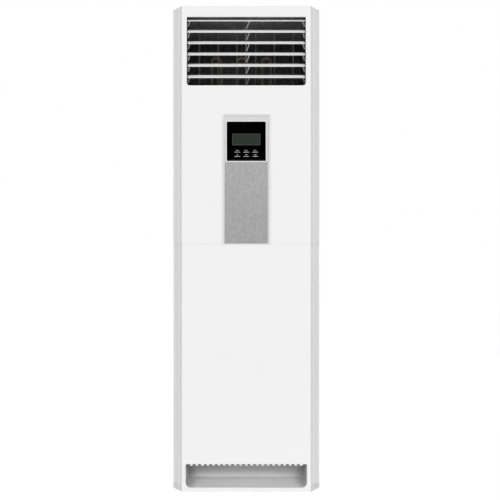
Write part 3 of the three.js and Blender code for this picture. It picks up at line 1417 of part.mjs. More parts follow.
// ---------------------------------------------------------------- assembly
const model = new THREE.Group();

function add(name, solid, color, roughness, metalness = 0, place = [0, 0, 0]) {
  const material = new THREE.MeshStandardMaterial({ color, roughness, metalness });
  const mesh = new THREE.Mesh(toGeometry(solid), material);
  mesh.name = name;
  mesh.position.set(...place);
  model.add(mesh);
}

const WHITE = 0xf1f2f2;
const WARM_WHITE = 0xe9eaea;
const SILVER = 0xc9cbcc;
const STEEL = 0xb9bcbe;
const DARK = 0x3c3e40;
const COPPER = 0xb87345;

add('base_pan', basePan(), 0xc4c6c7, 0.5);
add('lower_front_panel', lowerFrontPanel(), WHITE, 0.35);
add('upper_front_panel', upperFrontPanel(), WHITE, 0.35);
add('left_side_panel', mirrored(sidePanel()), WARM_WHITE, 0.45);
add('right_side_panel', sidePanel(), WARM_WHITE, 0.45);
add('rear_panel', rearPanel(), STEEL, 0.5, 0.6);
add('top_cover', topCover(), WARM_WHITE, 0.45);
add('wall_bracket', wallBracket(), STEEL, 0.4, 0.8);
add('pipe_port_cover', pipePortCover(), WARM_WHITE, 0.5);
add('cord_gland', cordGland(), DARK, 0.7);
add('outlet_frame', outletFrame(), 0x2b2c2d, 0.8);
add('control_bezel', controlBezel(), SILVER, 0.4, 0.3);
add('display_window', displayWindow(), 0x0b0c0d, 0.12);
add('lcd_module', lcdModule(), 0x333733, 0.3);
add('trim_strip', trimStrip(), 0xb2b4b6, 0.35, 0.9);
add('control_board', controlBoard(), 0x1f5a38, 0.6);
buttonPlaces().forEach((place, index) => {
  add(`button_${index + 1}`, button(place), 0x9a9c9e, 0.4);
});
add('inlet_scoop', inletScoop(), WARM_WHITE, 0.5);
add('inlet_grille', inletGrille(), WHITE, 0.45);
add('air_filter', airFilter(), DARK, 0.8);
[...Array(LOUVRE_COUNT).keys()].forEach((index) => {
  add(`louvre_${index + 1}`, louvre(), WHITE, 0.4, 0, louvrePivot(index));
});
add('louvre_link', louvreLink(), 0x6b6e70, 0.5);
[...Array(VANE_COUNT).keys()].forEach((index) => {
  add(`vane_${index + 1}`, vane(), 0x6b6e70, 0.6, 0, [vaneX(index), VANE_PLACE_Y, 0]);
});
add('vane_link', vaneLink(), 0x6b6e70, 0.6);
add('swing_crank', swingCrank(), WHITE, 0.5, 0, [SWING_X, VANE_PLACE_Y, 0]);
add('swing_motor', swingMotor(), STEEL, 0.4, 0.7, [SWING_X, VANE_PLACE_Y, 0]);
HEATER_X.forEach((x, index) => {
  add(`heater_${index + 1}`, heaterLoop(x), 0x4e4836, 0.6, 0.5);
});
add('heater_rail', heaterRail(), STEEL, 0.45, 0.8);
add('evaporator_fins', evaporatorFins(), 0xa8adb0, 0.5, 0.7);
add('evaporator_bends', evaporatorBends(), COPPER, 0.4, 0.9);
add('evaporator_headers', evaporatorHeaders(), COPPER, 0.4, 0.9);
add('drain_pan', drainPan(), STEEL, 0.5, 0.6);
add('gas_pipe', gasPipe(), COPPER, 0.4, 0.9);
add('liquid_pipe', liquidPipe(), COPPER, 0.4, 0.9);
add('blower_deck', blowerDeck(), STEEL, 0.5, 0.7);
add('scroll_housing', scrollHousing(), STEEL, 0.5, 0.7);
add('inlet_ring', inletRing(), WARM_WHITE, 0.5);
add('blower_wheel', blowerWheel(), DARK, 0.5);
add('fan_motor', fanMotor(), 0x6b6e70, 0.5, 0.6);
add('motor_bracket', motorBracket(), STEEL, 0.5, 0.7);
add('electrical_box', electricalBox(), STEEL, 0.5, 0.6);

export default model;
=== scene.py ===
# %% [markdown]
# # A floor standing air conditioner, dressed for the camera
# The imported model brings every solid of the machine: casing, louvres, vanes, control panel,
# inlet and the pieces inside. This lesson leaves those solids in their places, softens their
# edges and gives each one a procedural finish. Then it adds the small things that such a
# machine carries besides: trim frames, signs over the keys, screws, the cross bar of the inlet
# grille and foam. All lengths are in metres.

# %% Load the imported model
import json
import math
import bmesh
import bpy
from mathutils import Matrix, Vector, noise


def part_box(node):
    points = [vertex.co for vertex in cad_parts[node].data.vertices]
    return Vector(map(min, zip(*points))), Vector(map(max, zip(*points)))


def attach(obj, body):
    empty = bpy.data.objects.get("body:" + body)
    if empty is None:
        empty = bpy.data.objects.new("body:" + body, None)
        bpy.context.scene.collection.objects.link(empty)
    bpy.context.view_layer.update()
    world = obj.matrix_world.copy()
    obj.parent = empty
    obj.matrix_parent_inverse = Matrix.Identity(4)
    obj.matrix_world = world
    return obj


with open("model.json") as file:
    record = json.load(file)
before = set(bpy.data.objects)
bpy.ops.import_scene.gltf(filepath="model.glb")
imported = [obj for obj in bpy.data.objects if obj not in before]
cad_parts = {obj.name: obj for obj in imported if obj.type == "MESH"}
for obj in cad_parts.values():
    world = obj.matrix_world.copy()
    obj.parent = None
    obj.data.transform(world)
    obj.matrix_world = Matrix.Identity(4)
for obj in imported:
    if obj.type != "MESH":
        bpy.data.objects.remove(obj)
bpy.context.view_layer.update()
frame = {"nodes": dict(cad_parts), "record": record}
nodes = frame["nodes"]
scene = bpy.context.scene

# %% [markdown]
# ## Camera
# The picture shows the front of the cabinet dead on: both side facets look equally wide and
# the upper and lower edges are level. A level camera at half the height, three metres in front
# of the face, gives that view, and the field of view sets how much of the frame it fills.

# %% Put the camera in front of the face
CAMERA_PLACE = Vector((0.013, -3.150, 0.846))
CAMERA_FIELD = math.radians(32.5)
camera_data = bpy.data.cameras.new("camera")
camera_data.sensor_fit = "HORIZONTAL"
camera_data.angle = CAMERA_FIELD
camera = bpy.data.objects.new("camera", camera_data)
camera.location = CAMERA_PLACE
camera.rotation_euler = (math.radians(90), 0, 0)
scene.collection.objects.link(camera)
scene.camera = camera
scene.view_settings.view_transform = "Standard"
print("camera at", tuple(CAMERA_PLACE))

# %% [markdown]
# ## Floor and background
# The background is plain white paper. A bright lamp on a real backdrop would give that white,
# but it would light the object too. So the world is pure white only where it is looked at,
# directly or in a shine, and a soft grey where it lights things. The floor works the same way,
# but it mixes a little real shading into its own glow, so that the shadow stays.

# %% White surroundings with a soft ambient light
AMBIENT = 0.44


def looked_at(tree):
    """A value of 1 where a surface or the sky is seen directly, in a shine or through glass."""
    path = tree.nodes.new("ShaderNodeLightPath")
    seen_by = path.outputs["Is Camera Ray"]
    for kind in ("Is Glossy Ray", "Is Transmission Ray"):
        either = tree.nodes.new("ShaderNodeMath")
        either.operation = "MAXIMUM"
        tree.links.new(seen_by, either.inputs[0])
        tree.links.new(path.outputs[kind], either.inputs[1])
        seen_by = either.outputs[0]
    return seen_by


world = bpy.data.worlds.new("studio")
scene.world = world
world.use_nodes = True
sky = world.node_tree
sky.nodes.clear()
seen = sky.nodes.new("ShaderNodeBackground")
seen.inputs["Color"].default_value = (1, 1, 1, 1)
seen.inputs["Strength"].default_value = 1
lit = sky.nodes.new("ShaderNodeBackground")
lit.inputs["Color"].default_value = (1, 1, 1, 1)
lit.inputs["Strength"].default_value = AMBIENT
pick = sky.nodes.new("ShaderNodeMixShader")
sky_out = sky.nodes.new("ShaderNodeOutputWorld")
sky.links.new(looked_at(sky), pick.inputs["Fac"])
sky.links.new(lit.outputs[0], pick.inputs[1])
sky.links.new(seen.outputs[0], pick.inputs[2])
sky.links.new(pick.outputs[0], sky_out.inputs["Surface"])
print("ambient light", AMBIENT)

# %% Floor that keeps a faint shadow
FLOOR_HALF = 9
FLOOR_DROP = 0.0006  # keeps the floor just clear of the base pan
FLOOR_SHADE = 0.50  # grey of the part that takes shadows
FLOOR_LIGHT = 1.25  # strength of the part that glows
FLOOR_GLOW = 0.72  # share of the glow where the floor is looked at
SQUARE = ((-1, -1), (1, -1), (1, 1), (-1, 1))
floor_mesh = bpy.data.meshes.new("floor")
corners = [(x * FLOOR_HALF, y * FLOOR_HALF, -FLOOR_DROP) for x, y in SQUARE]
floor_mesh.from_pydata(corners, [], [(0, 1, 2, 3)])
floor = bpy.data.objects.new("floor", floor_mesh)
scene.collection.objects.link(floor)
floor_paper = bpy.data.materials.new("floor_paper")
floor_paper.use_nodes = True
paper = floor_paper.node_tree
paper.nodes.clear()
shade = paper.nodes.new("ShaderNodeBsdfDiffuse")
shade.inputs["Color"].default_value = (FLOOR_SHADE, FLOOR_SHADE, FLOOR_SHADE, 1)
glow = paper.nodes.new("ShaderNodeEmission")
glow.inputs["Strength"].default_value = FLOOR_LIGHT
part_glow = paper.nodes.new("ShaderNodeMath")
part_glow.operation = "MULTIPLY"
part_glow.inputs[1].default_value = FLOOR_GLOW
blend = paper.nodes.new("ShaderNodeMixShader")
paper_out = paper.nodes.new("ShaderNodeOutputMaterial")
paper.links.new(looked_at(paper), part_glow.inputs[0])
paper.links.new(part_glow.outputs[0], blend.inputs["Fac"])
paper.links.new(shade.outputs[0], blend.inputs[1])
paper.links.new(glow.outputs[0], blend.inputs[2])
paper.links.new(blend.outputs[0], paper_out.inputs["Surface"])
floor_mesh.materials.append(floor_paper)
print("floor reaches", 2 * FLOOR_HALF, "m")

# %% [markdown]
# ## Lamps
# The face is evenly bright from top to bottom, the bevelled corners are darker by how far they
# turn away, and the recess at the foot has a lit floor under a shaded back wall. A lamp near
# the object would brighten one end of such a tall face. So the light comes from far away and
# from above: two distant soft lamps, left and right of the camera and thirty degrees up. The
# right corner is a little brighter than the left one, and so is its lamp. Lamps at the back
# and overhead shape the other sides.

# %% Soft lamps


def soft_lamp(name, place, target, width, height, power):
    """A rectangular lamp at a place, turned to a target."""
    data = bpy.data.lights.new(name, "AREA")
    data.shape = "RECTANGLE"
    data.size = width
    data.size_y = height
    data.energy = power
    lamp = bpy.data.objects.new(name, data)
    lamp.location = place
    aim = Vector(target) - Vector(place)
    lamp.rotation_euler = aim.to_track_quat("-Z", "Y").to_euler()
    scene.collection.objects.link(lamp)


def distant_lamp(name, azimuth, elevation, spread, strength):
    """Parallel light from a direction in degrees, with the soft edge of a broad source."""
    data = bpy.data.lights.new(name, "SUN")
    data.angle = math.radians(spread)
    data.energy = strength
    lamp = bpy.data.objects.new(name, data)
    turn, rise = math.radians(azimuth), math.radians(elevation)
    level = math.cos(rise)
    toward = Vector((math.sin(turn) * level, -math.cos(turn) * level, math.sin(rise)))
    lamp.location = toward * 6
    lamp.rotation_euler = toward.to_track_quat("Z", "Y").to_euler()
    scene.collection.objects.link(lamp)


MIDDLE = (0, 0, 0.9)
FRONT_AZIMUTH = 20
FRONT_ELEVATION = 30
FRONT_SPREAD = 20
for side, strength in ((-1, 1.07), (1, 1.19)):
    distant_lamp("front_lamp", side * FRONT_AZIMUTH, FRONT_ELEVATION, FRONT_SPREAD, strength)
    soft_lamp("rear_side_lamp", (side * 2.2, 3.4, 1.6), MIDDLE, width=1.6, height=2.0, power=20)
soft_lamp("top_lamp", (0, 0.6, 3.8), MIDDLE, width=2.0, height=1.6, power=12)

# %% [markdown]
# ## A finish from nodes
# Every surface starts from the same three parts: a colour that wanders a little around its
# mean, a roughness that wanders too, and a fine relief. Painted pictures could do it, but they
# need unwrapping and get coarse close up. Noise read in the piece's own coordinates does all
# three at any distance, and the scales are real lengths, so a grain of 2 mm is 2 mm.

# %% Helpers for finishes
WAVE_PERIOD = 2 * math.pi / 20  # length of one stripe of the wave texture at a scale of 1


class Finish:
    """A material under construction: its tree, its main shader and the piece's coordinates."""

    def __init__(self, name, roughness=0.4, metallic=0.0):
        self.material = bpy.data.materials.new(name)
        self.material.use_nodes = True
        self.tree = self.material.node_tree
        self.shader = self.tree.nodes["Principled BSDF"]
        self.shader.inputs["Roughness"].default_value = roughness
        self.shader.inputs["Metallic"].default_value = metallic
        self.places = self.tree.nodes.new("ShaderNodeTexCoord").outputs["Object"]
        self.normal = None

    def node(self, kind, **values):
        """A new node with some of its settings."""
        made = self.tree.nodes.new(kind)
        for key, value in values.items():
            setattr(made, key, value)
        return made

    def link(self, start, end):
        """A wire from one socket to another."""
        self.tree.links.new(start, end)

    def stretched(self, stretch):
        """The piece's coordinates, squeezed along some axes."""
        scaled = self.node("ShaderNodeVectorMath", operation="MULTIPLY")
        scaled.inputs[1].default_value = stretch
        self.link(self.places, scaled.inputs[0])
        return scaled.outputs[0]

    def noise(self, grain, detail=3.0, stretch=(1, 1, 1)):
        """Soft noise whose spots are about grain metres across."""
        made = self.node("ShaderNodeTexNoise")
        made.inputs["Scale"].default_value = 1 / grain
        made.inputs["Detail"].default_value = detail
        self.link(self.stretched(stretch), made.inputs["Vector"])
        return made.outputs["Fac"]

    def waves(self, direction, pitch, distortion=0.0):
        """Soft stripes across one axis, a pitch of metres apart."""
        made = self.node("ShaderNodeTexWave", wave_type="BANDS", bands_direction=direction)
        made.inputs["Scale"].default_value = WAVE_PERIOD / pitch
        made.inputs["Distortion"].default_value = distortion
        self.link(self.places, made.inputs["Vector"])
        return made.outputs["Fac"]

    def combined(self, operation, first, second):
        """Two values, the second perhaps a plain number, joined by a sum, a product or the like."""
        made = self.node("ShaderNodeMath", operation=operation)
        self.link(first, made.inputs[0])
        if isinstance(second, float):
            made.inputs[1].default_value = second
        else:
            self.link(second, made.inputs[1])
        return made.outputs[0]

    def near(self, place, axes, reach):
        """A value of 1 at a place that falls to 0 within a reach, measured along some axes."""
        apart = self.node("ShaderNodeVectorMath", operation="SUBTRACT")
        apart.inputs[1].default_value = place
        self.link(self.places, apart.inputs[0])
        flat = self.node("ShaderNodeVectorMath", operation="MULTIPLY")
        flat.inputs[1].default_value = axes
        self.link(apart.outputs[0], flat.inputs[0])
        far = self.node("ShaderNodeVectorMath", operation="LENGTH")
        self.link(flat.outputs[0], far.inputs[0])
        made = self.node("ShaderNodeMapRange")
        made.inputs["From Min"].default_value = reach
        made.inputs["From Max"].default_value = reach * 0.15
        self.link(far.outputs["Value"], made.inputs["Value"])
        return made.outputs["Result"]

    def mixed_colour(self, share, first, second):
        """The first colour where the share is 0, the second where it is 1."""
        made = self.node("ShaderNodeMix", data_type="RGBA")
        self.link(share, made.inputs["Factor"])
        self.link(first, made.inputs["A"])
        self.link(second, made.inputs["B"])
        self.link(made.outputs["Result"], self.shader.inputs["Base Color"])

    def share_along(self, axis, start, end):
        """A value that rises from 0 to 1 between two places on an axis."""
        parts = self.node("ShaderNodeSeparateXYZ")
        self.link(self.places, parts.inputs[0])
        made = self.node("ShaderNodeMapRange")
        made.inputs["From Min"].default_value = start
        made.inputs["From Max"].default_value = end
        self.link(parts.outputs[axis], made.inputs["Value"])
        return made.outputs["Result"]

    def ramp(self, value, stops):
        """Colours or greys read off a scale of (position, colour) stops."""
        made = self.node("ShaderNodeValToRGB")
        scale = made.color_ramp
        while len(scale.elements) < len(stops):
            scale.elements.new(0.5)
        for element, (position, colour) in zip(scale.elements, stops):
            element.position = position
            element.color = (*colour, 1)
        self.link(value, made.inputs["Fac"])
        return made.outputs["Color"]

    def colour(self, value, stops):
        """The base colour, read off a scale of stops."""
        out = self.ramp(value, stops)
        self.link(out, self.shader.inputs["Base Color"])
        return out

    def wandering_colour(self, mean, spread, grain, **options):
        """A colour that goes up and down by a share of itself."""
        low = [c * (1 - spread) for c in mean]
        high = [min(1, c * (1 + spread)) for c in mean]
        return self.colour(self.noise(grain, **options), [(0.3, low), (0.7, high)])

    def wandering_roughness(self, low, high, grain, **options):
        """A roughness that wanders between two values."""
        made = self.node("ShaderNodeMapRange")
        made.inputs["From Min"].default_value = 0.3
        made.inputs["From Max"].default_value = 0.7
        made.inputs["To Min"].default_value = low
        made.inputs["To Max"].default_value = high
        self.link(self.noise(grain, **options), made.inputs["Value"])
        self.link(made.outputs["Result"], self.shader.inputs["Roughness"])

    def relief(self, height, depth, strength=1.0):
        """Bumps of a real depth in metres, laid over earlier relief."""
        bump = self.node("ShaderNodeBump")
        bump.inputs["Distance"].default_value = depth
        bump.inputs["Strength"].default_value = strength
        self.link(height, bump.inputs["Height"])
        if self.normal is not None:
            self.link(self.normal, bump.inputs["Normal"])
        self.normal = bump.outputs["Normal"]
        self.link(self.normal, self.shader.inputs["Normal"])

    def set(self, socket, value):
        """One plain value on the main shader."""
        self.shader.inputs[socket].default_value = value


def grey(level, warmth=0.0):
    """A linear grey, a touch warmer or cooler."""
    return (level * (1 + warmth), level, level * (1 - warmth))


print("finishes are built by", Finish.__name__)

# %% [markdown]
# ## Casing finishes
# The front panels are moulded plastic in a soft white with an even satin sheen. The side panels
# and top are sheet steel under powder paint, whose skin has a very fine orange peel. The rim of
# the base is a grey moulding with a mottled look, and the back is bare galvanised sheet. The
# soft grey round the control recess is painted shade: it stands in for the shade in the recess's
# rounded bevel, which is too thin for a piece of its own, so the white plastic's colour darkens
# there, by distance from the box of the bezel.

# %% Paint, moulded plastic and bare sheet
FRONT_WHITE = grey(0.865, -0.002)
BEVEL_REACH = 0.012  # from the bezel's sides to the outer end of the grey
BEVEL_END = 0.006  # the same at the bezel's ends
BEVEL_LAP = 0.002  # how far inside the bezel's ends the grey is full
CRYSTAL = 0.012


def moulded_white():
    """White plastic, with painted shade in grey on the side bevels of the control recess."""
    made = Finish("moulded_white")
    unshaded = made.wandering_colour(FRONT_WHITE, 0.008, 0.35, detail=2.0)
    # painted shade: this grey stands in for the shade in the rounded side bevels of the control recess
    painted_bevel_shade = made.ramp(made.noise(0.01), [(0.3, grey(0.71)), (0.7, grey(0.73))])
    low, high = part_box("control_bezel")
    left = made.share_along("X", low.x - BEVEL_REACH, low.x)
    right = made.share_along("X", high.x + BEVEL_REACH, high.x)
    foot = made.share_along("Z", low.z - BEVEL_END, low.z + BEVEL_LAP)
    head = made.share_along("Z", high.z + BEVEL_END, high.z - BEVEL_LAP)
    across = made.combined("MULTIPLY", left, right)
    upright = made.combined("MULTIPLY", foot, head)
    made.mixed_colour(made.combined("MULTIPLY", across, upright), unshaded, painted_bevel_shade)
    made.wandering_roughness(0.36, 0.44, 0.05)
    made.relief(made.noise(0.0016, detail=2.0), 0.00002, 0.35)
    made.set("Specular IOR Level", 0.06)
    return made.material


def powder_white():
    """White powder paint with a very fine orange peel."""
    made = Finish("powder_white")
    made.wandering_colour(grey(0.84, -0.003), 0.01, 0.25, detail=2.0)
    made.wandering_roughness(0.42, 0.52, 0.03)
    made.relief(made.noise(0.0022, detail=4.0), 0.00006, 0.5)
    return made.material


def base_moulding():
    """Light grey with darker mottling."""
    made = Finish("base_moulding")
    made.wandering_colour(grey(0.74), 0.12, 0.008, detail=6.0)
    made.wandering_roughness(0.5, 0.65, 0.01)
    made.relief(made.noise(0.0012, detail=4.0), 0.0001, 0.6)
    return made.material


def zinc_sheet(name, low, high):
    """Galvanised steel: crystals a centimetre across, each with its own shade and shine."""
    made = Finish(name, metallic=0.85)
    crystals = made.node("ShaderNodeTexVoronoi", feature="F1")
    crystals.inputs["Scale"].default_value = 1 / CRYSTAL
    crystals.inputs["Randomness"].default_value = 1.0
    made.link(made.stretched((1, 1, 1.2)), crystals.inputs["Vector"])
    shades = made.node("ShaderNodeSeparateColor")
    made.link(crystals.outputs["Color"], shades.inputs["Color"])
    made.colour(shades.outputs["Red"], [(0.0, grey(low, -0.02)), (1.0, grey(high, -0.01))])
    spread = made.node("ShaderNodeMapRange")
    spread.inputs["To Min"].default_value = 0.34
    spread.inputs["To Max"].default_value = 0.52
    made.link(shades.outputs["Green"], spread.inputs["Value"])
    made.link(spread.outputs["Result"], made.shader.inputs["Roughness"])
    made.relief(made.noise(0.004, detail=4.0), 0.00003, 0.5)
    return made.material


finishes = {
    "front_white": moulded_white(),
    "side_white": powder_white(),
    "base_grey": base_moulding(),
    "galvanised": zinc_sheet("zinc_sheet", 0.50, 0.68),
}
print("finished:", ", ".join(finishes))

# %% [markdown]
# ## Outlet finishes
# The duct behind the louvres is dark foam-lined sheet, and almost no light comes back from it;
# its ceiling is painted a lighter grey, which is painted light. The louvres are light grey-white
# plastic, and the vanes behind them are dark plastic. The heater sheaths have the brown-olive
# colour of tubes that have been hot. The coil behind has some two hundred thin fins. As solids
# they would cost far more than they show, so two sets of stripes, one for the fins and one for
# the slits in them, make its colour and its relief, with painted shade in the gaps. The inlet
# scoop is white plastic too, with painted shade under the grille, at both ends and along the
# crease.

# %% Duct, louvres, vanes, heater, coil and scoop
CEILING_DROP = 0.0275  # from the top of the front panel to the duct's ceiling
CEILING_EDGE = 0.0005
LINING_CELL = 0.003
FIN_PITCH = 0.0018
SLIT_PITCH = 0.0084
GRILLE_SHADE = (0.045, 0.090)  # heights between which the painted shade under the grille begins and is full
END_WALL = 0.004
END_SHADE_WIDE = 0.036
END_SHADE_FULL = 0.002
END_SHADE = 0.74
CREASE = (0, -0.0335, 0.018)
CREASE_WIDE = 0.007
CREASE_SHADE = 0.75


def duct_lining():
    """Black lining on the walls; the ceiling is painted a lighter grey, which is painted light for the
    lit strip seen over the top louvre.
    """
    made = Finish("duct_lining")
    lined = made.wandering_colour(grey(0.022, 0.03), 0.3, 0.004, detail=5.0)
    ceiling_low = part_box("upper_front_panel")[1].z - CEILING_DROP
    # painted light: the lighter grey ceiling stands in for the light on it just behind the face
    painted_light_ceiling = made.ramp(made.noise(0.02), [(0.3, grey(0.21)), (0.7, grey(0.25))])
    made.mixed_colour(made.share_along("Z", ceiling_low - CEILING_EDGE, ceiling_low), lined, painted_light_ceiling)
    made.wandering_roughness(0.75, 0.9, 0.01)
    cells = made.node("ShaderNodeTexVoronoi", feature="F1")
    cells.inputs["Scale"].default_value = 1 / LINING_CELL
    made.link(made.places, cells.inputs["Vector"])
    made.relief(cells.outputs["Distance"], 0.0003, 0.4)
    return made.material


def louvre_plastic():
    """White plastic, a shade darker than the face."""
    made = Finish("louvre_plastic")
    made.wandering_colour(grey(0.81), 0.02, 0.05, detail=3.0)
    made.wandering_roughness(0.34, 0.44, 0.03)
    made.relief(made.noise(0.0014, detail=2.0), 0.00002, 0.3)
    return made.material


def vane_plastic(name, level):
    """Matt grey plastic of a given level."""
    made = Finish(name)
    made.wandering_colour(grey(level), 0.08, 0.03)
    made.wandering_roughness(0.45, 0.6, 0.02)
    made.relief(made.noise(0.001, detail=2.0), 0.00003, 0.4)
    return made.material


def heater_sheath():
    """Steel tube, coloured by heat from straw through brown to grey along its length."""
    made = Finish("heater_sheath", metallic=0.2)
    made.colour(
        made.noise(0.018, detail=4.0),
        [(0.3, (0.16, 0.144, 0.104)), (0.5, (0.23, 0.205, 0.140)), (0.7, (0.19, 0.178, 0.146))],
    )
    made.wandering_roughness(0.4, 0.6, 0.004)
    made.relief(made.noise(0.0008), 0.00005, 0.4)
    return made.material


def fin_aluminium():
    """Upright fins, crossed by the rows of slits that are pressed into them, with painted shade in the
    gaps.
    """
    made = Finish("fin_aluminium", metallic=0.1)
    fins = made.waves("X", FIN_PITCH, 0.4)
    slits = made.waves("Z", SLIT_PITCH, 0.6)
    both = made.combined("MULTIPLY", fins, slits)
    # the dark end of this scale is painted shade in the gaps between the fins and in the slits
    made.colour(both, [(0.0, grey(0.028, 0.06)), (0.6, grey(0.21, 0.06))])
    made.wandering_roughness(0.4, 0.6, 0.01)
    made.relief(both, 0.0008, 0.8)
    return made.material


def scoop_plastic():
    """White plastic with painted shade in grey under the grille, at both ends and along the crease."""
    made = Finish("scoop_plastic")
    unshaded = made.wandering_colour(grey(0.79, -0.003), 0.015, 0.12, detail=2.0)
    shade_grey = made.ramp(made.noise(0.006, detail=5.0), [(0.3, grey(0.32)), (0.7, grey(0.42))])
    # painted shade: darker up towards the grille's lip, near both end walls and along the crease
    under_grille = made.share_along("Z", *GRILLE_SHADE)
    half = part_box("inlet_scoop")[1].x - END_WALL
    left_end = made.share_along("X", END_SHADE_WIDE - half, END_SHADE_FULL - half)
    right_end = made.share_along("X", half - END_SHADE_WIDE, half - END_SHADE_FULL)
    ends = made.combined("MULTIPLY", made.combined("MAXIMUM", left_end, right_end), END_SHADE)
    crease = made.combined("MULTIPLY", made.near(CREASE, (0, 1, 1), CREASE_WIDE), CREASE_SHADE)
    painted_shade = made.combined("MAXIMUM", made.combined("MAXIMUM", under_grille, ends), crease)
    made.mixed_colour(painted_shade, unshaded, shade_grey)
    made.set("Specular IOR Level", 0.3)
    made.wandering_roughness(0.4, 0.5, 0.03)
    made.relief(made.noise(0.0016, detail=2.0), 0.00003, 0.4)
    return made.material


finishes.update({
    "duct_dark": duct_lining(),
    "scoop_white": scoop_plastic(),
    "louvre_white": louvre_plastic(),
    "vane_grey": vane_plastic("vane_plastic", 0.20),
    "heater_olive": heater_sheath(),
    "fin_metal": fin_aluminium(),
})
print("finished:", ", ".join(finishes))

# %% [markdown]
# ## Control panel finishes
# The field round the controls is silver paint, which is a clear coat over fine metal flakes.
# The window is deep black acrylic that hardly shines, the screen in it is a dark green-grey
# liquid crystal, and the long strip is brushed steel whose grain runs up and down. Brushing
# could be a bump map of scratches, but here it is noise that is squeezed across the grain and
# stretched along it, which stays sharp at any size. The keys are pale below and black above,
# so each key is one finish with a line across it, measured from the key's foot.

# %% Silver paint, window, screen and brushed strip
KEY_GREY = 0.0022  # height of a key's pale foot
KEY_EDGE = 0.0002  # half the width of the line between pale and black
PRINT_TOP = 0.0095  # height over which the black ends, above a key and below the next row
PRINT_EDGE = 0.0005
DOT_PITCH = 0.0009


def silver_paint():
    """Fine flakes under a clear coat."""
    made = Finish("silver_paint", metallic=0.35)
    made.wandering_colour(grey(0.535, -0.004), 0.05, 0.0009, detail=2.0)
    made.wandering_roughness(0.34, 0.42, 0.02)
    made.set("Coat Weight", 0.3)
    made.set("Coat Roughness", 0.25)
    return made.material


def window_acrylic():
    """Nearly pure black with a slightly wavy face."""
    made = Finish("window_acrylic")
    made.wandering_colour(grey(0.0004, -0.05), 0.2, 0.04)
    made.wandering_roughness(0.08, 0.14, 0.06)
    made.relief(made.noise(0.05, detail=1.0), 0.0001, 0.2)
    made.set("Specular IOR Level", 0.004)
    return made.material


def screen_crystal():
    """A fine grid of dots is just visible in the switched-off screen."""
    made = Finish("screen_crystal")
    dots = made.combined("MULTIPLY", made.waves("X", DOT_PITCH), made.waves("Z", DOT_PITCH))
    made.colour(dots, [(0.0, (0.022, 0.030, 0.024)), (1.0, (0.030, 0.040, 0.032))])
    made.wandering_roughness(0.22, 0.3, 0.02)
    made.set("Specular IOR Level", 0.05)
    return made.material


def brushed_strip():
    """Fine brushing up and down, with patches where the brush pressed harder."""
    made = Finish("brushed_strip", metallic=0.75)
    fine = made.noise(0.0007, detail=4.0, stretch=(1, 1, 0.02))
    patches = made.noise(0.006, detail=3.0, stretch=(1, 1, 0.6))
    both = made.combined("MULTIPLY", made.combined("ADD", fine, patches), 0.5)
    made.colour(both, [(0.38, grey(0.250, -0.006)), (0.62, grey(0.318, -0.004))])
    made.wandering_roughness(0.36, 0.5, 0.0012, stretch=(1, 1, 0.03))
    made.relief(fine, 0.00002, 0.35)
    return made.material


def key_cap():
    """Keys with a pale grey foot under an arch that is printed black."""
    made = Finish("key_cap")
    rows = []
    for key in ("button_1", "button_4"):
        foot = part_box(key)[0].z
        over = made.share_along("Z", foot + KEY_GREY - KEY_EDGE, foot + KEY_GREY + KEY_EDGE)
        under = made.share_along("Z", foot + PRINT_TOP + PRINT_EDGE, foot + PRINT_TOP - PRINT_EDGE)
        rows.append(made.combined("MULTIPLY", over, under))
    printed = made.combined("MAXIMUM", *rows)
    light = made.wandering_colour(grey(0.62), 0.06, 0.004)
    dark = made.ramp(made.noise(0.002), [(0.3, grey(0.003)), (0.7, grey(0.005))])
    made.mixed_colour(printed, light, dark)
    made.wandering_roughness(0.4, 0.5, 0.003)
    made.relief(made.noise(0.0006), 0.00002, 0.4)
    return made.material


finishes.update({
    "field_silver": silver_paint(),
    "window_black": window_acrylic(),
    "screen_grey": screen_crystal(),
    "strip_metal": brushed_strip(),
    "button_grey": key_cap(),
})
print("finished:", ", ".join(finishes))

# %% [markdown]
# ## Finishes of the inner pieces
# Copper is bright where it is clean and brown where it has aged. The circuit board is green
# laminate with a weave under the varnish. The filter is a net, and two sets of stripes that
# cross give its threads. The blower, its motor and the rubber gland are dark, each with its own
# sheen, so one function makes all three from a level and a roughness.

# %% Copper, board, filter, fan and rubber
WEAVE = 0.001
NET_PITCH = 0.0016


def aged_copper():
    """Copper tube, bright in some places and brown in others."""
    made = Finish("aged_copper", metallic=1.0)
    made.colour(
        made.noise(0.03, detail=5.0),
        [(0.3, (0.45, 0.19, 0.10)), (0.55, (0.72, 0.36, 0.22)), (0.75, (0.55, 0.25, 0.15))],
    )
    made.wandering_roughness(0.25, 0.45, 0.02)
    made.relief(made.noise(0.003), 0.00004, 0.4)
    return made.material


def board_laminate():
    """Green laminate whose weave shows as a fine check."""
    made = Finish("board_laminate")
    weave = made.node("ShaderNodeTexChecker")
    weave.inputs["Scale"].default_value = 1 / WEAVE
    made.link(made.places, weave.inputs["Vector"])
    made.colour(weave.outputs["Fac"], [(0.0, (0.016, 0.11, 0.045)), (1.0, (0.020, 0.14, 0.055))])
    made.wandering_roughness(0.25, 0.35, 0.01)
    return made.material


def filter_net():
    """Dark threads that cross, with painted shade in the gaps."""
    made = Finish("filter_net")
    threads = made.combined("MAXIMUM", made.waves("X", NET_PITCH), made.waves("Y", NET_PITCH))
    # the darker gaps are painted shade behind the threads
    made.colour(threads, [(0.55, grey(0.012)), (0.8, grey(0.07))])
    made.wandering_roughness(0.55, 0.7, 0.004)
    made.relief(threads, 0.0004, 0.8)
    return made.material


def dark_plastic(name, level, roughness):
    """Plastic, paint or rubber of a given level and roughness."""
    made = Finish(name)
    made.wandering_colour(grey(level), 0.15, 0.01)
    made.wandering_roughness(roughness - 0.06, roughness + 0.06, 0.008)
    made.relief(made.noise(0.0012, detail=3.0), 0.00004, 0.5)
    return made.material


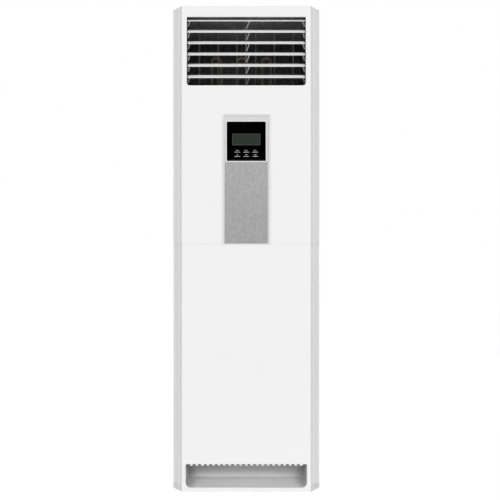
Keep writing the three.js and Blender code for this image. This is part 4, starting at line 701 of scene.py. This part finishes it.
finishes.update({
    "copper": aged_copper(),
    "board_green": board_laminate(),
    "filter_dark": filter_net(),
    "fan_dark": dark_plastic("fan_plastic", 0.03, 0.45),
    "motor_grey": dark_plastic("motor_paint", 0.18, 0.5),
    "rubber_black": dark_plastic("rubber", 0.015, 0.75),
})
print("finished:", len(finishes))

# %% [markdown]
# ## Give every solid its finish
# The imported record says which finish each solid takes. A solid keeps its mesh, and only its
# material changes. The louvres' link rod is moulded in a lighter grey than the vanes, because
# it shows as a pale line between the louvres, and the wall bracket is of darker zinc than the
# sheet behind it.

# %% Assign the finishes
OWN_FINISH = {
    "louvre_link": vane_plastic("link_plastic", 0.46),
    "wall_bracket": zinc_sheet("bracket_zinc", 0.22, 0.34),
}
slot_of = {}
for entry in frame["record"]["subparts"]:
    slot_of[entry["node"]] = entry["material_slot"]
for node_name, solid in nodes.items():
    solid.data.materials.clear()
    solid.data.materials.append(OWN_FINISH.get(node_name) or finishes[slot_of[node_name]])
print("dressed:", len(slot_of), "solids")

# %% [markdown]
# ## Soften the edges
# A moulded or folded edge is never razor sharp: it has a small radius that catches a thin line
# of light. The shader's own bevel node could fake it, but an exported mesh would lose it, so
# modifiers make it here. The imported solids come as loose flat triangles, so each one is first
# welded and its flat areas are joined into single faces. Then a bevel rounds every edge that
# turns far enough, and weighted normals keep the flat areas flat. On the casing even the
# shallow edges between the facets of its corners are rounded, while the small pieces keep
# their gentle curves and lose only the hard edges.

# %% Round the edges of every solid
CASING_ANGLE = 6
SMALL_ANGLE = 28
CASING_EDGE = 0.0007
SMALL_EDGE = 0.00025
WELD_REACH = 0.00001
FLAT_ANGLE = 0.6
CASING = ("base_grey", "front_white", "side_white")


def weld_and_smooth():
    """A node group that joins touching corners and turns on smooth shading."""
    group = bpy.data.node_groups.new("weld_and_smooth", "GeometryNodeTree")
    group.interface.new_socket("Geometry", in_out="INPUT", socket_type="NodeSocketGeometry")
    group.interface.new_socket("Geometry", in_out="OUTPUT", socket_type="NodeSocketGeometry")
    start = group.nodes.new("NodeGroupInput")
    weld = group.nodes.new("GeometryNodeMergeByDistance")
    weld.inputs["Distance"].default_value = WELD_REACH
    smooth = group.nodes.new("GeometryNodeSetShadeSmooth")
    end = group.nodes.new("NodeGroupOutput")
    group.links.new(start.outputs[0], weld.inputs["Geometry"])
    group.links.new(weld.outputs["Geometry"], smooth.inputs["Geometry"])
    group.links.new(smooth.outputs["Geometry"], end.inputs[0])
    return group


WELD = weld_and_smooth()


def soften(solid, width, angle=SMALL_ANGLE):
    """Weld, merge flat areas, round edges over an angle in degrees and weight the normals."""
    welded = solid.modifiers.new("weld", "NODES")
    welded.node_group = WELD
    flat = solid.modifiers.new("flat", "DECIMATE")
    flat.decimate_type = "DISSOLVE"
    flat.angle_limit = math.radians(FLAT_ANGLE)
    bevel = solid.modifiers.new("bevel", "BEVEL")
    bevel.limit_method = "ANGLE"
    bevel.angle_limit = math.radians(angle)
    bevel.width = width
    bevel.segments = 2
    bevel.use_clamp_overlap = True
    weighted = solid.modifiers.new("weighted", "WEIGHTED_NORMAL")
    weighted.keep_sharp = False


for node_name, solid in nodes.items():
    if slot_of[node_name] in CASING:
        soften(solid, CASING_EDGE, CASING_ANGLE)
    else:
        soften(solid, SMALL_EDGE)
print("softened:", len(nodes), "solids")

# %% [markdown]
# ## Tools for small pieces
# What is left are small things: trim frames, printed marks, screws, a bar, foam. Most of them
# are flat shapes with a thickness. They could be cut from blocks, but it is simpler to draw a
# flat shape as closed loops in x and z, fill it, and push it back along y: a second loop inside
# the first then comes out as a hole.

# %% Flat pieces from loops
CORNER_STEPS = 4


def plate(loops, front, back):
    """A mesh under construction: the area between closed loops, from one y to another."""
    shape = bmesh.new()
    edges = []
    for loop in loops:
        corners = [shape.verts.new((x, front, z)) for x, z in loop]
        edges += [shape.edges.new(pair) for pair in zip(corners, corners[1:] + corners[:1])]
    bmesh.ops.triangle_fill(shape, use_beauty=True, use_dissolve=True, edges=edges)
    pushed = bmesh.ops.extrude_face_region(shape, geom=shape.faces[:])
    moved = [item for item in pushed["geom"] if isinstance(item, bmesh.types.BMVert)]
    bmesh.ops.translate(shape, vec=(0, back - front, 0), verts=moved)
    bmesh.ops.recalc_face_normals(shape, faces=shape.faces)
    return shape


def arc(centre, radius, start, end, steps):
    """Corners along an arc, angles in degrees."""
    turns = [math.radians(start + (end - start) * step / steps) for step in range(steps + 1)]
    return [(centre[0] + radius * math.cos(t), centre[1] + radius * math.sin(t)) for t in turns]


def rounded_loop(x, z, radius):
    """A rectangle with round corners."""
    right, left, top, bottom = x[1] - radius, x[0] + radius, z[1] - radius, z[0] + radius
    centres = ((right, top), (left, top), (left, bottom), (right, bottom))
    loop = []
    for quarter, centre in enumerate(centres):
        loop += arc(centre, radius, quarter * 90, quarter * 90 + 90, CORNER_STEPS)
    return loop


def finish_piece(name, shape, material, edge=0.0):
    """Turn a mesh under construction into a piece in the scene, its edges softened if an edge width is
    given.
    """
    mesh = bpy.data.meshes.new(name)
    shape.to_mesh(mesh)
    shape.free()
    mesh.materials.append(material)
    piece = bpy.data.objects.new(name, mesh)
    scene.collection.objects.link(piece)
    if edge:
        soften(piece, edge)
    return piece


print("a rounded loop has", len(rounded_loop((-1, 1), (-1, 1), 0.2)), "corners")

# %% [markdown]
# ## Trim frames of the window and the screen
# A pale raised frame, about four millimetres wide, runs round the black window. Under the
# window a black lip fills the frame, so that the black reaches a little lower. The liquid
# crystal screen has a narrow dark grey frame of its own. A frame is a rounded rectangle with a
# smaller one as its hole, both worked out from the box of the piece that it goes round, so it
# fits whatever the size of that piece.

# %% Frames round the window and the screen
WINDOW_FRAME = 0.0036
WINDOW_CORNER = 0.0016
WINDOW_RISE = 0.0012
SCREEN_FRAME = 0.0020
SMALL_CORNER = 0.0012
SEAT = 0.0004
LIP = 0.0034
LIP_RISE = 0.0008
window_low, window_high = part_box("display_window")
screen_low, screen_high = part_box("lcd_module")
field_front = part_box("control_bezel")[0].y


def frame_round(low, high, gap, width, radius, front, back, lip=0.0):
    """A flat frame that leaves a gap round a box, a wider one below, and is so wide."""
    x, z = (low.x - gap, high.x + gap), (low.z - gap - lip, high.z + gap)
    wide, tall = (x[0] - width, x[1] + width), (z[0] - width, z[1] + width)
    outer = rounded_loop(wide, tall, radius + width / 2)
    return plate([outer, rounded_loop(x, z, radius)], front, back)


def pale_trim():
    """Pale satin paint on a thin moulding."""
    made = Finish("pale_trim", metallic=0.1)
    made.wandering_colour(grey(0.70, -0.004), 0.03, 0.002, detail=2.0)
    made.wandering_roughness(0.3, 0.4, 0.01)
    made.relief(made.noise(0.001, detail=2.0), 0.00002, 0.3)
    return made.material


window_frame = finish_piece(
    "window_frame",
    frame_round(
        window_low, window_high, SEAT, WINDOW_FRAME, WINDOW_CORNER,
        field_front - WINDOW_RISE, field_front, LIP,
    ),
    pale_trim(),
    edge=0.0003,
)
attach(window_frame, "cabinet")
lip_x = (window_low.x - SEAT, window_high.x + SEAT)
lip_z = (window_low.z - SEAT - LIP, window_low.z)
window_lip = finish_piece(
    "window_lip",
    plate([rounded_loop(lip_x, lip_z, SMALL_CORNER)], field_front - LIP_RISE, field_front),
    dark_plastic("lip_plastic", 0.004, 0.6),
    edge=0.0002,
)
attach(window_lip, "cabinet")
screen_frame = finish_piece(
    "screen_frame",
    frame_round(
        screen_low, screen_high, SEAT - SCREEN_FRAME, SCREEN_FRAME, SMALL_CORNER,
        window_low.y - 0.0002, window_low.y + 0.0001,
    ),
    dark_plastic("screen_frame", 0.010, 0.4),
    edge=0.00008,
)
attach(screen_frame, "cabinet")
print("window frame reaches", [round(v, 4) for v in window_frame.bound_box[6]])

# %% [markdown]
# ## Marks over the buttons
# Each button has a small printed mark over it. Plain signs that any such panel may carry do
# the job: a power ring, arrows with plus and minus, fan blades, slats and a ring between two
# dashes. Print is only a coat of ink, and a picture could carry it, but strokes as thin plates
# stay sharp close up. Every mark is a set of bars, bows and arrows in three line widths.

# %% Printed marks
MARK = 0.0012  # half the height of a mark
LINE = 0.0009
BOLD = 1.4 * LINE
THIN = 0.7 * LINE
MARK_LIFT = 0.0046  # from the middle of a key to the middle of its mark
INK = 0.0001


def bar(start, end, width=LINE):
    """The outline of a straight stroke."""
    start, end = Vector(start), Vector(end)
    along = end - start
    across = Vector((-along.y, along.x)).normalized() * width / 2
    return [tuple(corner) for corner in (start + across, start - across, end - across, end + across)]


def bow(radius, start, end, width=LINE):
    """The outline of a curved stroke about the mark's middle."""
    steps = max(4, round(abs(end - start) / 20))
    outer = arc((0, 0), radius + width / 2, start, end, steps)
    return outer + arc((0, 0), radius - width / 2, end, start, steps)


def arrow(x, up):
    """A triangle that points up or down beside the mark's middle."""
    half = 1.3 * MARK
    tip = half if up else -half
    return [(x - half, -tip * 0.7), (x + half, -tip * 0.7), (x, tip)]


SIDE = 3.4 * MARK
DASHES = [bar((x - MARK, 0), (x + MARK, 0)) for x in (-SIDE, SIDE)]
MINUS = bar((0, 0), (3 * MARK, 0), BOLD)
STEM = [bar((SIDE / 2, up * BOLD), (SIDE / 2, up * 1.4 * MARK), BOLD) for up in (1, -1)]
MARKS = (
    [bow(MARK, 125, 415), bar((0, 0.3 * MARK), (0, 1.2 * MARK))] + DASHES,
    [arrow(-SIDE, True), MINUS] + STEM,
    [arrow(-SIDE, False), MINUS],
    [bow(0.75 * MARK, turn, turn + 80, 1.5 * LINE) for turn in (0, 120, 240)],
    [bar((-0.7 * SIDE, z * MARK), (0.7 * SIDE, z * MARK), THIN) for z in (-0.9, 0, 0.9)],
    [bow(MARK, 0, 175), bow(MARK, 180, 355)] + DASHES,
)


def joined(shapes):
    """Several meshes under construction as one."""
    whole = bmesh.new()
    for shape in shapes:
        part = bpy.data.meshes.new("part")
        shape.to_mesh(part)
        shape.free()
        whole.from_mesh(part)
        bpy.data.meshes.remove(part)
    return whole


def mark_ink():
    """Pale grey ink, a little uneven."""
    made = Finish("mark_ink")
    made.wandering_colour(grey(0.60), 0.12, 0.0006, detail=3.0)
    made.wandering_roughness(0.5, 0.6, 0.001)
    return made.material


ink = mark_ink()
for index, strokes in enumerate(MARKS):
    key_low, key_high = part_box(f"button_{index + 1}")
    x, z = (key_low.x + key_high.x) / 2, (key_low.z + key_high.z) / 2 + MARK_LIFT
    whole = joined([plate([stroke], window_low.y - INK, window_low.y) for stroke in strokes])
    bmesh.ops.translate(whole, vec=(x, 0, z), verts=whole.verts)
    mark = finish_piece(f"mark_{index + 1}", whole, ink)
    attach(mark, "cabinet")
print("marks:", len(MARKS))

# %% [markdown]
# ## Screws at the back
# The rear panel, the top cover, the bracket and the port cover are held by pan head screws
# with a cross recess. A recess could be cut with a boolean, but joining the cross to the rim
# with triangles gives cleaner faces. One head is modelled, and every screw shares its mesh, so
# it is made at a radius of one metre and each screw scales it down.

# %% A screw head with a cross recess
SCREW = 0.0042
HEAD_RINGS = ((1.0, 0.0), (1.0, 0.12), (0.9, 0.30), (0.7, 0.40))
CROSS_ARM = 0.42
CROSS_HALF = 0.11
CROSS_DEPTH = 0.22
HEAD_SIDES = 20


def cross_loop(y):
    """The twelve corners of a plus sign."""
    arm, half = CROSS_ARM, CROSS_HALF
    quarter = [(arm, -half), (arm, half), (half, half)]
    loop = []
    for turn in range(4):
        c, s = math.cos(turn * math.pi / 2), math.sin(turn * math.pi / 2)
        loop += [(x * c - z * s, y, x * s + z * c) for x, z in quarter]
    return loop


def screw_head():
    """A unit screw head that stands on y = 0 and points along +y."""
    shape = bmesh.new()
    rings = []
    for radius, rise in HEAD_RINGS:
        turns = [2 * math.pi * step / HEAD_SIDES for step in range(HEAD_SIDES)]
        rings.append([shape.verts.new((radius * math.cos(t), rise, radius * math.sin(t))) for t in turns])
    for lower, upper in zip(rings, rings[1:]):
        for index in range(HEAD_SIDES):
            after = (index + 1) % HEAD_SIDES
            shape.faces.new((lower[index], lower[after], upper[after], upper[index]))
    top = HEAD_RINGS[-1][1]
    mouth = [shape.verts.new(corner) for corner in cross_loop(top)]
    bottom = [shape.verts.new(corner) for corner in cross_loop(top - CROSS_DEPTH)]
    rim = [shape.edges.get(pair) for pair in zip(rings[-1], rings[-1][1:] + rings[-1][:1])]
    lip = [shape.edges.new(pair) for pair in zip(mouth, mouth[1:] + mouth[:1])]
    bmesh.ops.triangle_fill(shape, use_beauty=True, edges=rim + lip)
    for index in range(len(mouth)):
        after = (index + 1) % len(mouth)
        shape.faces.new((mouth[index], mouth[after], bottom[after], bottom[index]))
    shape.faces.new(bottom)
    shape.faces.new(rings[0])
    bmesh.ops.recalc_face_normals(shape, faces=shape.faces)
    return shape


def screw_steel():
    """Zinc-plated steel. The head is one metre wide here, so the grains are large too."""
    made = Finish("screw_steel", metallic=0.9)
    made.wandering_colour(grey(0.42, 0.01), 0.12, 0.3, detail=3.0)
    made.wandering_roughness(0.28, 0.42, 0.4)
    made.relief(made.noise(0.25, detail=3.0), 0.02, 0.3)
    return made.material


head_mesh = bpy.data.meshes.new("screw_head")
head_shape = screw_head()
head_shape.to_mesh(head_mesh)
head_shape.free()
head_mesh.materials.append(screw_steel())
print("screw head:", len(head_mesh.polygons), "faces")

# %% Choose where the screws go
SIDE_SCREWS = 5
SIDE_INSET = 0.007
LID_SCREW_SHARES = (-0.75, 0.0, 0.75)
BRACKET_SCREW_SHARES = (-0.6, 0.6)
BRACKET_INSET = 0.017
PORT_INSET = 0.006
PORT_SCREW = 0.7 * SCREW
side_low, side_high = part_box("right_side_panel")
lid_low, lid_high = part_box("top_cover")
bracket_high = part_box("wall_bracket")[1]
port_low, port_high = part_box("pipe_port_cover")
screw_places = []
for step in range(SIDE_SCREWS):
    height = side_low.z + (side_high.z - side_low.z) * (step + 0.5) / SIDE_SCREWS
    for side in (-1, 1):
        screw_places.append((side * (side_high.x - SIDE_INSET), side_high.y, height, SCREW))
for share in LID_SCREW_SHARES:
    screw_places.append((share * lid_high.x, lid_high.y, (lid_low.z + lid_high.z) / 2, SCREW))
for share in BRACKET_SCREW_SHARES:
    screw_places.append((share * bracket_high.x, side_high.y, bracket_high.z - BRACKET_INSET, SCREW))
for x in (port_low.x + PORT_INSET, port_high.x - PORT_INSET):
    for z in (port_low.z + PORT_INSET, port_high.z - PORT_INSET):
        screw_places.append((x, port_high.y, z, PORT_SCREW))
print("screws:", len(screw_places))

# %% Put the screws in, each turned a little further
SCREW_TURN = 37
HEAD_SQUASH = 0.8
for number, (x, y, z, radius) in enumerate(screw_places, start=1):
    screw = bpy.data.objects.new(f"screw_{number}", head_mesh)
    screw.location = (x, y, z)
    screw.rotation_euler = (0, math.radians(SCREW_TURN * number), 0)
    screw.scale = (radius, radius * HEAD_SQUASH, radius)
    scene.collection.objects.link(screw)
    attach(screw, "cabinet")
print("last screw at", tuple(round(v, 4) for v in screw.location))

# %% [markdown]
# ## Cross bar of the inlet grille
# The slats' front ends are tied by a bar just behind the opening's upper edge. Its near-black
# colour is painted shade: it shows as the dark notches between the white teeth. A bar could be a
# curve with a profile, but a section drawn in y and z and joined to its twin at the other end is
# as short, and its front lower edge comes out round.

# %% Cross bar behind the teeth
BAR_BACK = 0.0060
BAR_DEEP = 0.004
BAR_TALL = 0.0052
BAR_ROUND = 0.0015
BAR_SHORT = 0.016  # what is left free at each end
grille_low, grille_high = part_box("inlet_grille")
teeth_foot = grille_low.z
bar_front = grille_low.y + BAR_BACK
cross_section = bmesh.new()
profile = [(bar_front, teeth_foot + BAR_TALL), (bar_front, teeth_foot + BAR_ROUND)]
profile += [
    (bar_front + BAR_ROUND * (1 - math.cos(t)), teeth_foot + BAR_ROUND * (1 - math.sin(t)))
    for t in (math.pi / 6, math.pi / 3, math.pi / 2)
]
profile += [(bar_front + BAR_DEEP, teeth_foot + z) for z in (0, BAR_TALL)]
half_bar = grille_high.x - BAR_SHORT
ends = [[cross_section.verts.new((x, y, z)) for y, z in profile] for x in (-half_bar, half_bar)]
for index in range(len(profile)):
    after = (index + 1) % len(profile)
    cross_section.faces.new((ends[0][index], ends[0][after], ends[1][after], ends[1][index]))
cross_section.faces.new(ends[0])
cross_section.faces.new(ends[1])
bmesh.ops.recalc_face_normals(cross_section, faces=cross_section.faces)
# the bar is real; its near-black colour is painted shade for the notches between the teeth
grille_bar = finish_piece("grille_cross_bar", cross_section, dark_plastic("bar_painted_shade", 0.012, 0.6))
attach(grille_bar, "cabinet")
print("cross bar reaches", round(2 * half_bar, 4), "m")

# %% [markdown]
# ## Foam inside the top
# Grey foam lines the casing behind and over the coil against sweating. It shows between the
# upper louvres, and its greys, darker behind the coil, are also painted shade: they set how dark
# the inside looks there. Each sheet is a thin pad whose faces are divided and then pushed in and
# out by noise, because real foam is never quite flat. The fine cells are too small for that, and
# they are relief in the finish.

# %% Foam sheets
FOAM_CELL = 0.02
FOAM_UNEVEN = 0.0006
FAR_APART = (Vector((0, 0, 0)), Vector((31.7, 0, 0)), Vector((0, 47.3, 0)))
FOAM_WAVES = 60
FOAM_PORE = 0.002
TOP_FOAM = (Vector((-0.250, -0.030, 1.6905)), Vector((0.250, 0.132, 1.6970)))
REAR_FOAM_HALF = 0.248
REAR_FOAM_HEIGHTS = (1.20, 1.688)
REAR_FOAM_GAPS = (0.0070, 0.0010)  # from the rear panel to the pad's front and back


def unevenness(place):
    """A push along x, y and z, each read from the same noise far from the others."""
    return Vector([noise.noise(place + shift) for shift in FAR_APART])


def foam_pad(low, high):
    """A pad between two corners whose faces are divided and pushed in and out by noise."""
    shape = bmesh.new()
    bmesh.ops.create_cube(shape, size=1)
    size = high - low
    bmesh.ops.scale(shape, vec=size, verts=shape.verts)
    bmesh.ops.translate(shape, vec=(low + high) / 2, verts=shape.verts)
    cuts = max(1, round(max(size) / FOAM_CELL))
    long_edges = [edge for edge in shape.edges if edge.calc_length() > 2 * FOAM_CELL]
    bmesh.ops.subdivide_edges(shape, edges=long_edges, cuts=cuts, use_grid_fill=True)
    for vert in shape.verts:
        vert.co += FOAM_UNEVEN * unevenness(vert.co * FOAM_WAVES)
    return shape


def grey_foam(name, level):
    """Matt foam with fine open cells."""
    made = Finish(name)
    made.wandering_colour(grey(level), 0.12, 0.006, detail=5.0)
    made.wandering_roughness(0.85, 0.95, 0.01)
    cells = made.node("ShaderNodeTexVoronoi", feature="F1")
    cells.inputs["Scale"].default_value = 1 / FOAM_PORE
    made.link(made.places, cells.inputs["Vector"])
    made.relief(cells.outputs["Distance"], 0.0004, 0.6)
    return made.material


panel_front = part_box("rear_panel")[0].y
pad_low, pad_high = [
    Vector((side * REAR_FOAM_HALF, panel_front - gap, height))
    for side, gap, height in zip((-1, 1), REAR_FOAM_GAPS, REAR_FOAM_HEIGHTS)
]
# the foam greys are partly painted shade: they set how dark the inside looks between the louvres
top_foam = finish_piece("top_foam", foam_pad(*TOP_FOAM), grey_foam("top_foam", 0.78))
rear_foam = finish_piece("rear_foam", foam_pad(pad_low, pad_high), grey_foam("rear_foam", 0.36))
for foam in (top_foam, rear_foam):
    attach(foam, "cabinet")
print("foam faces:", len(top_foam.data.polygons), len(rear_foam.data.polygons))
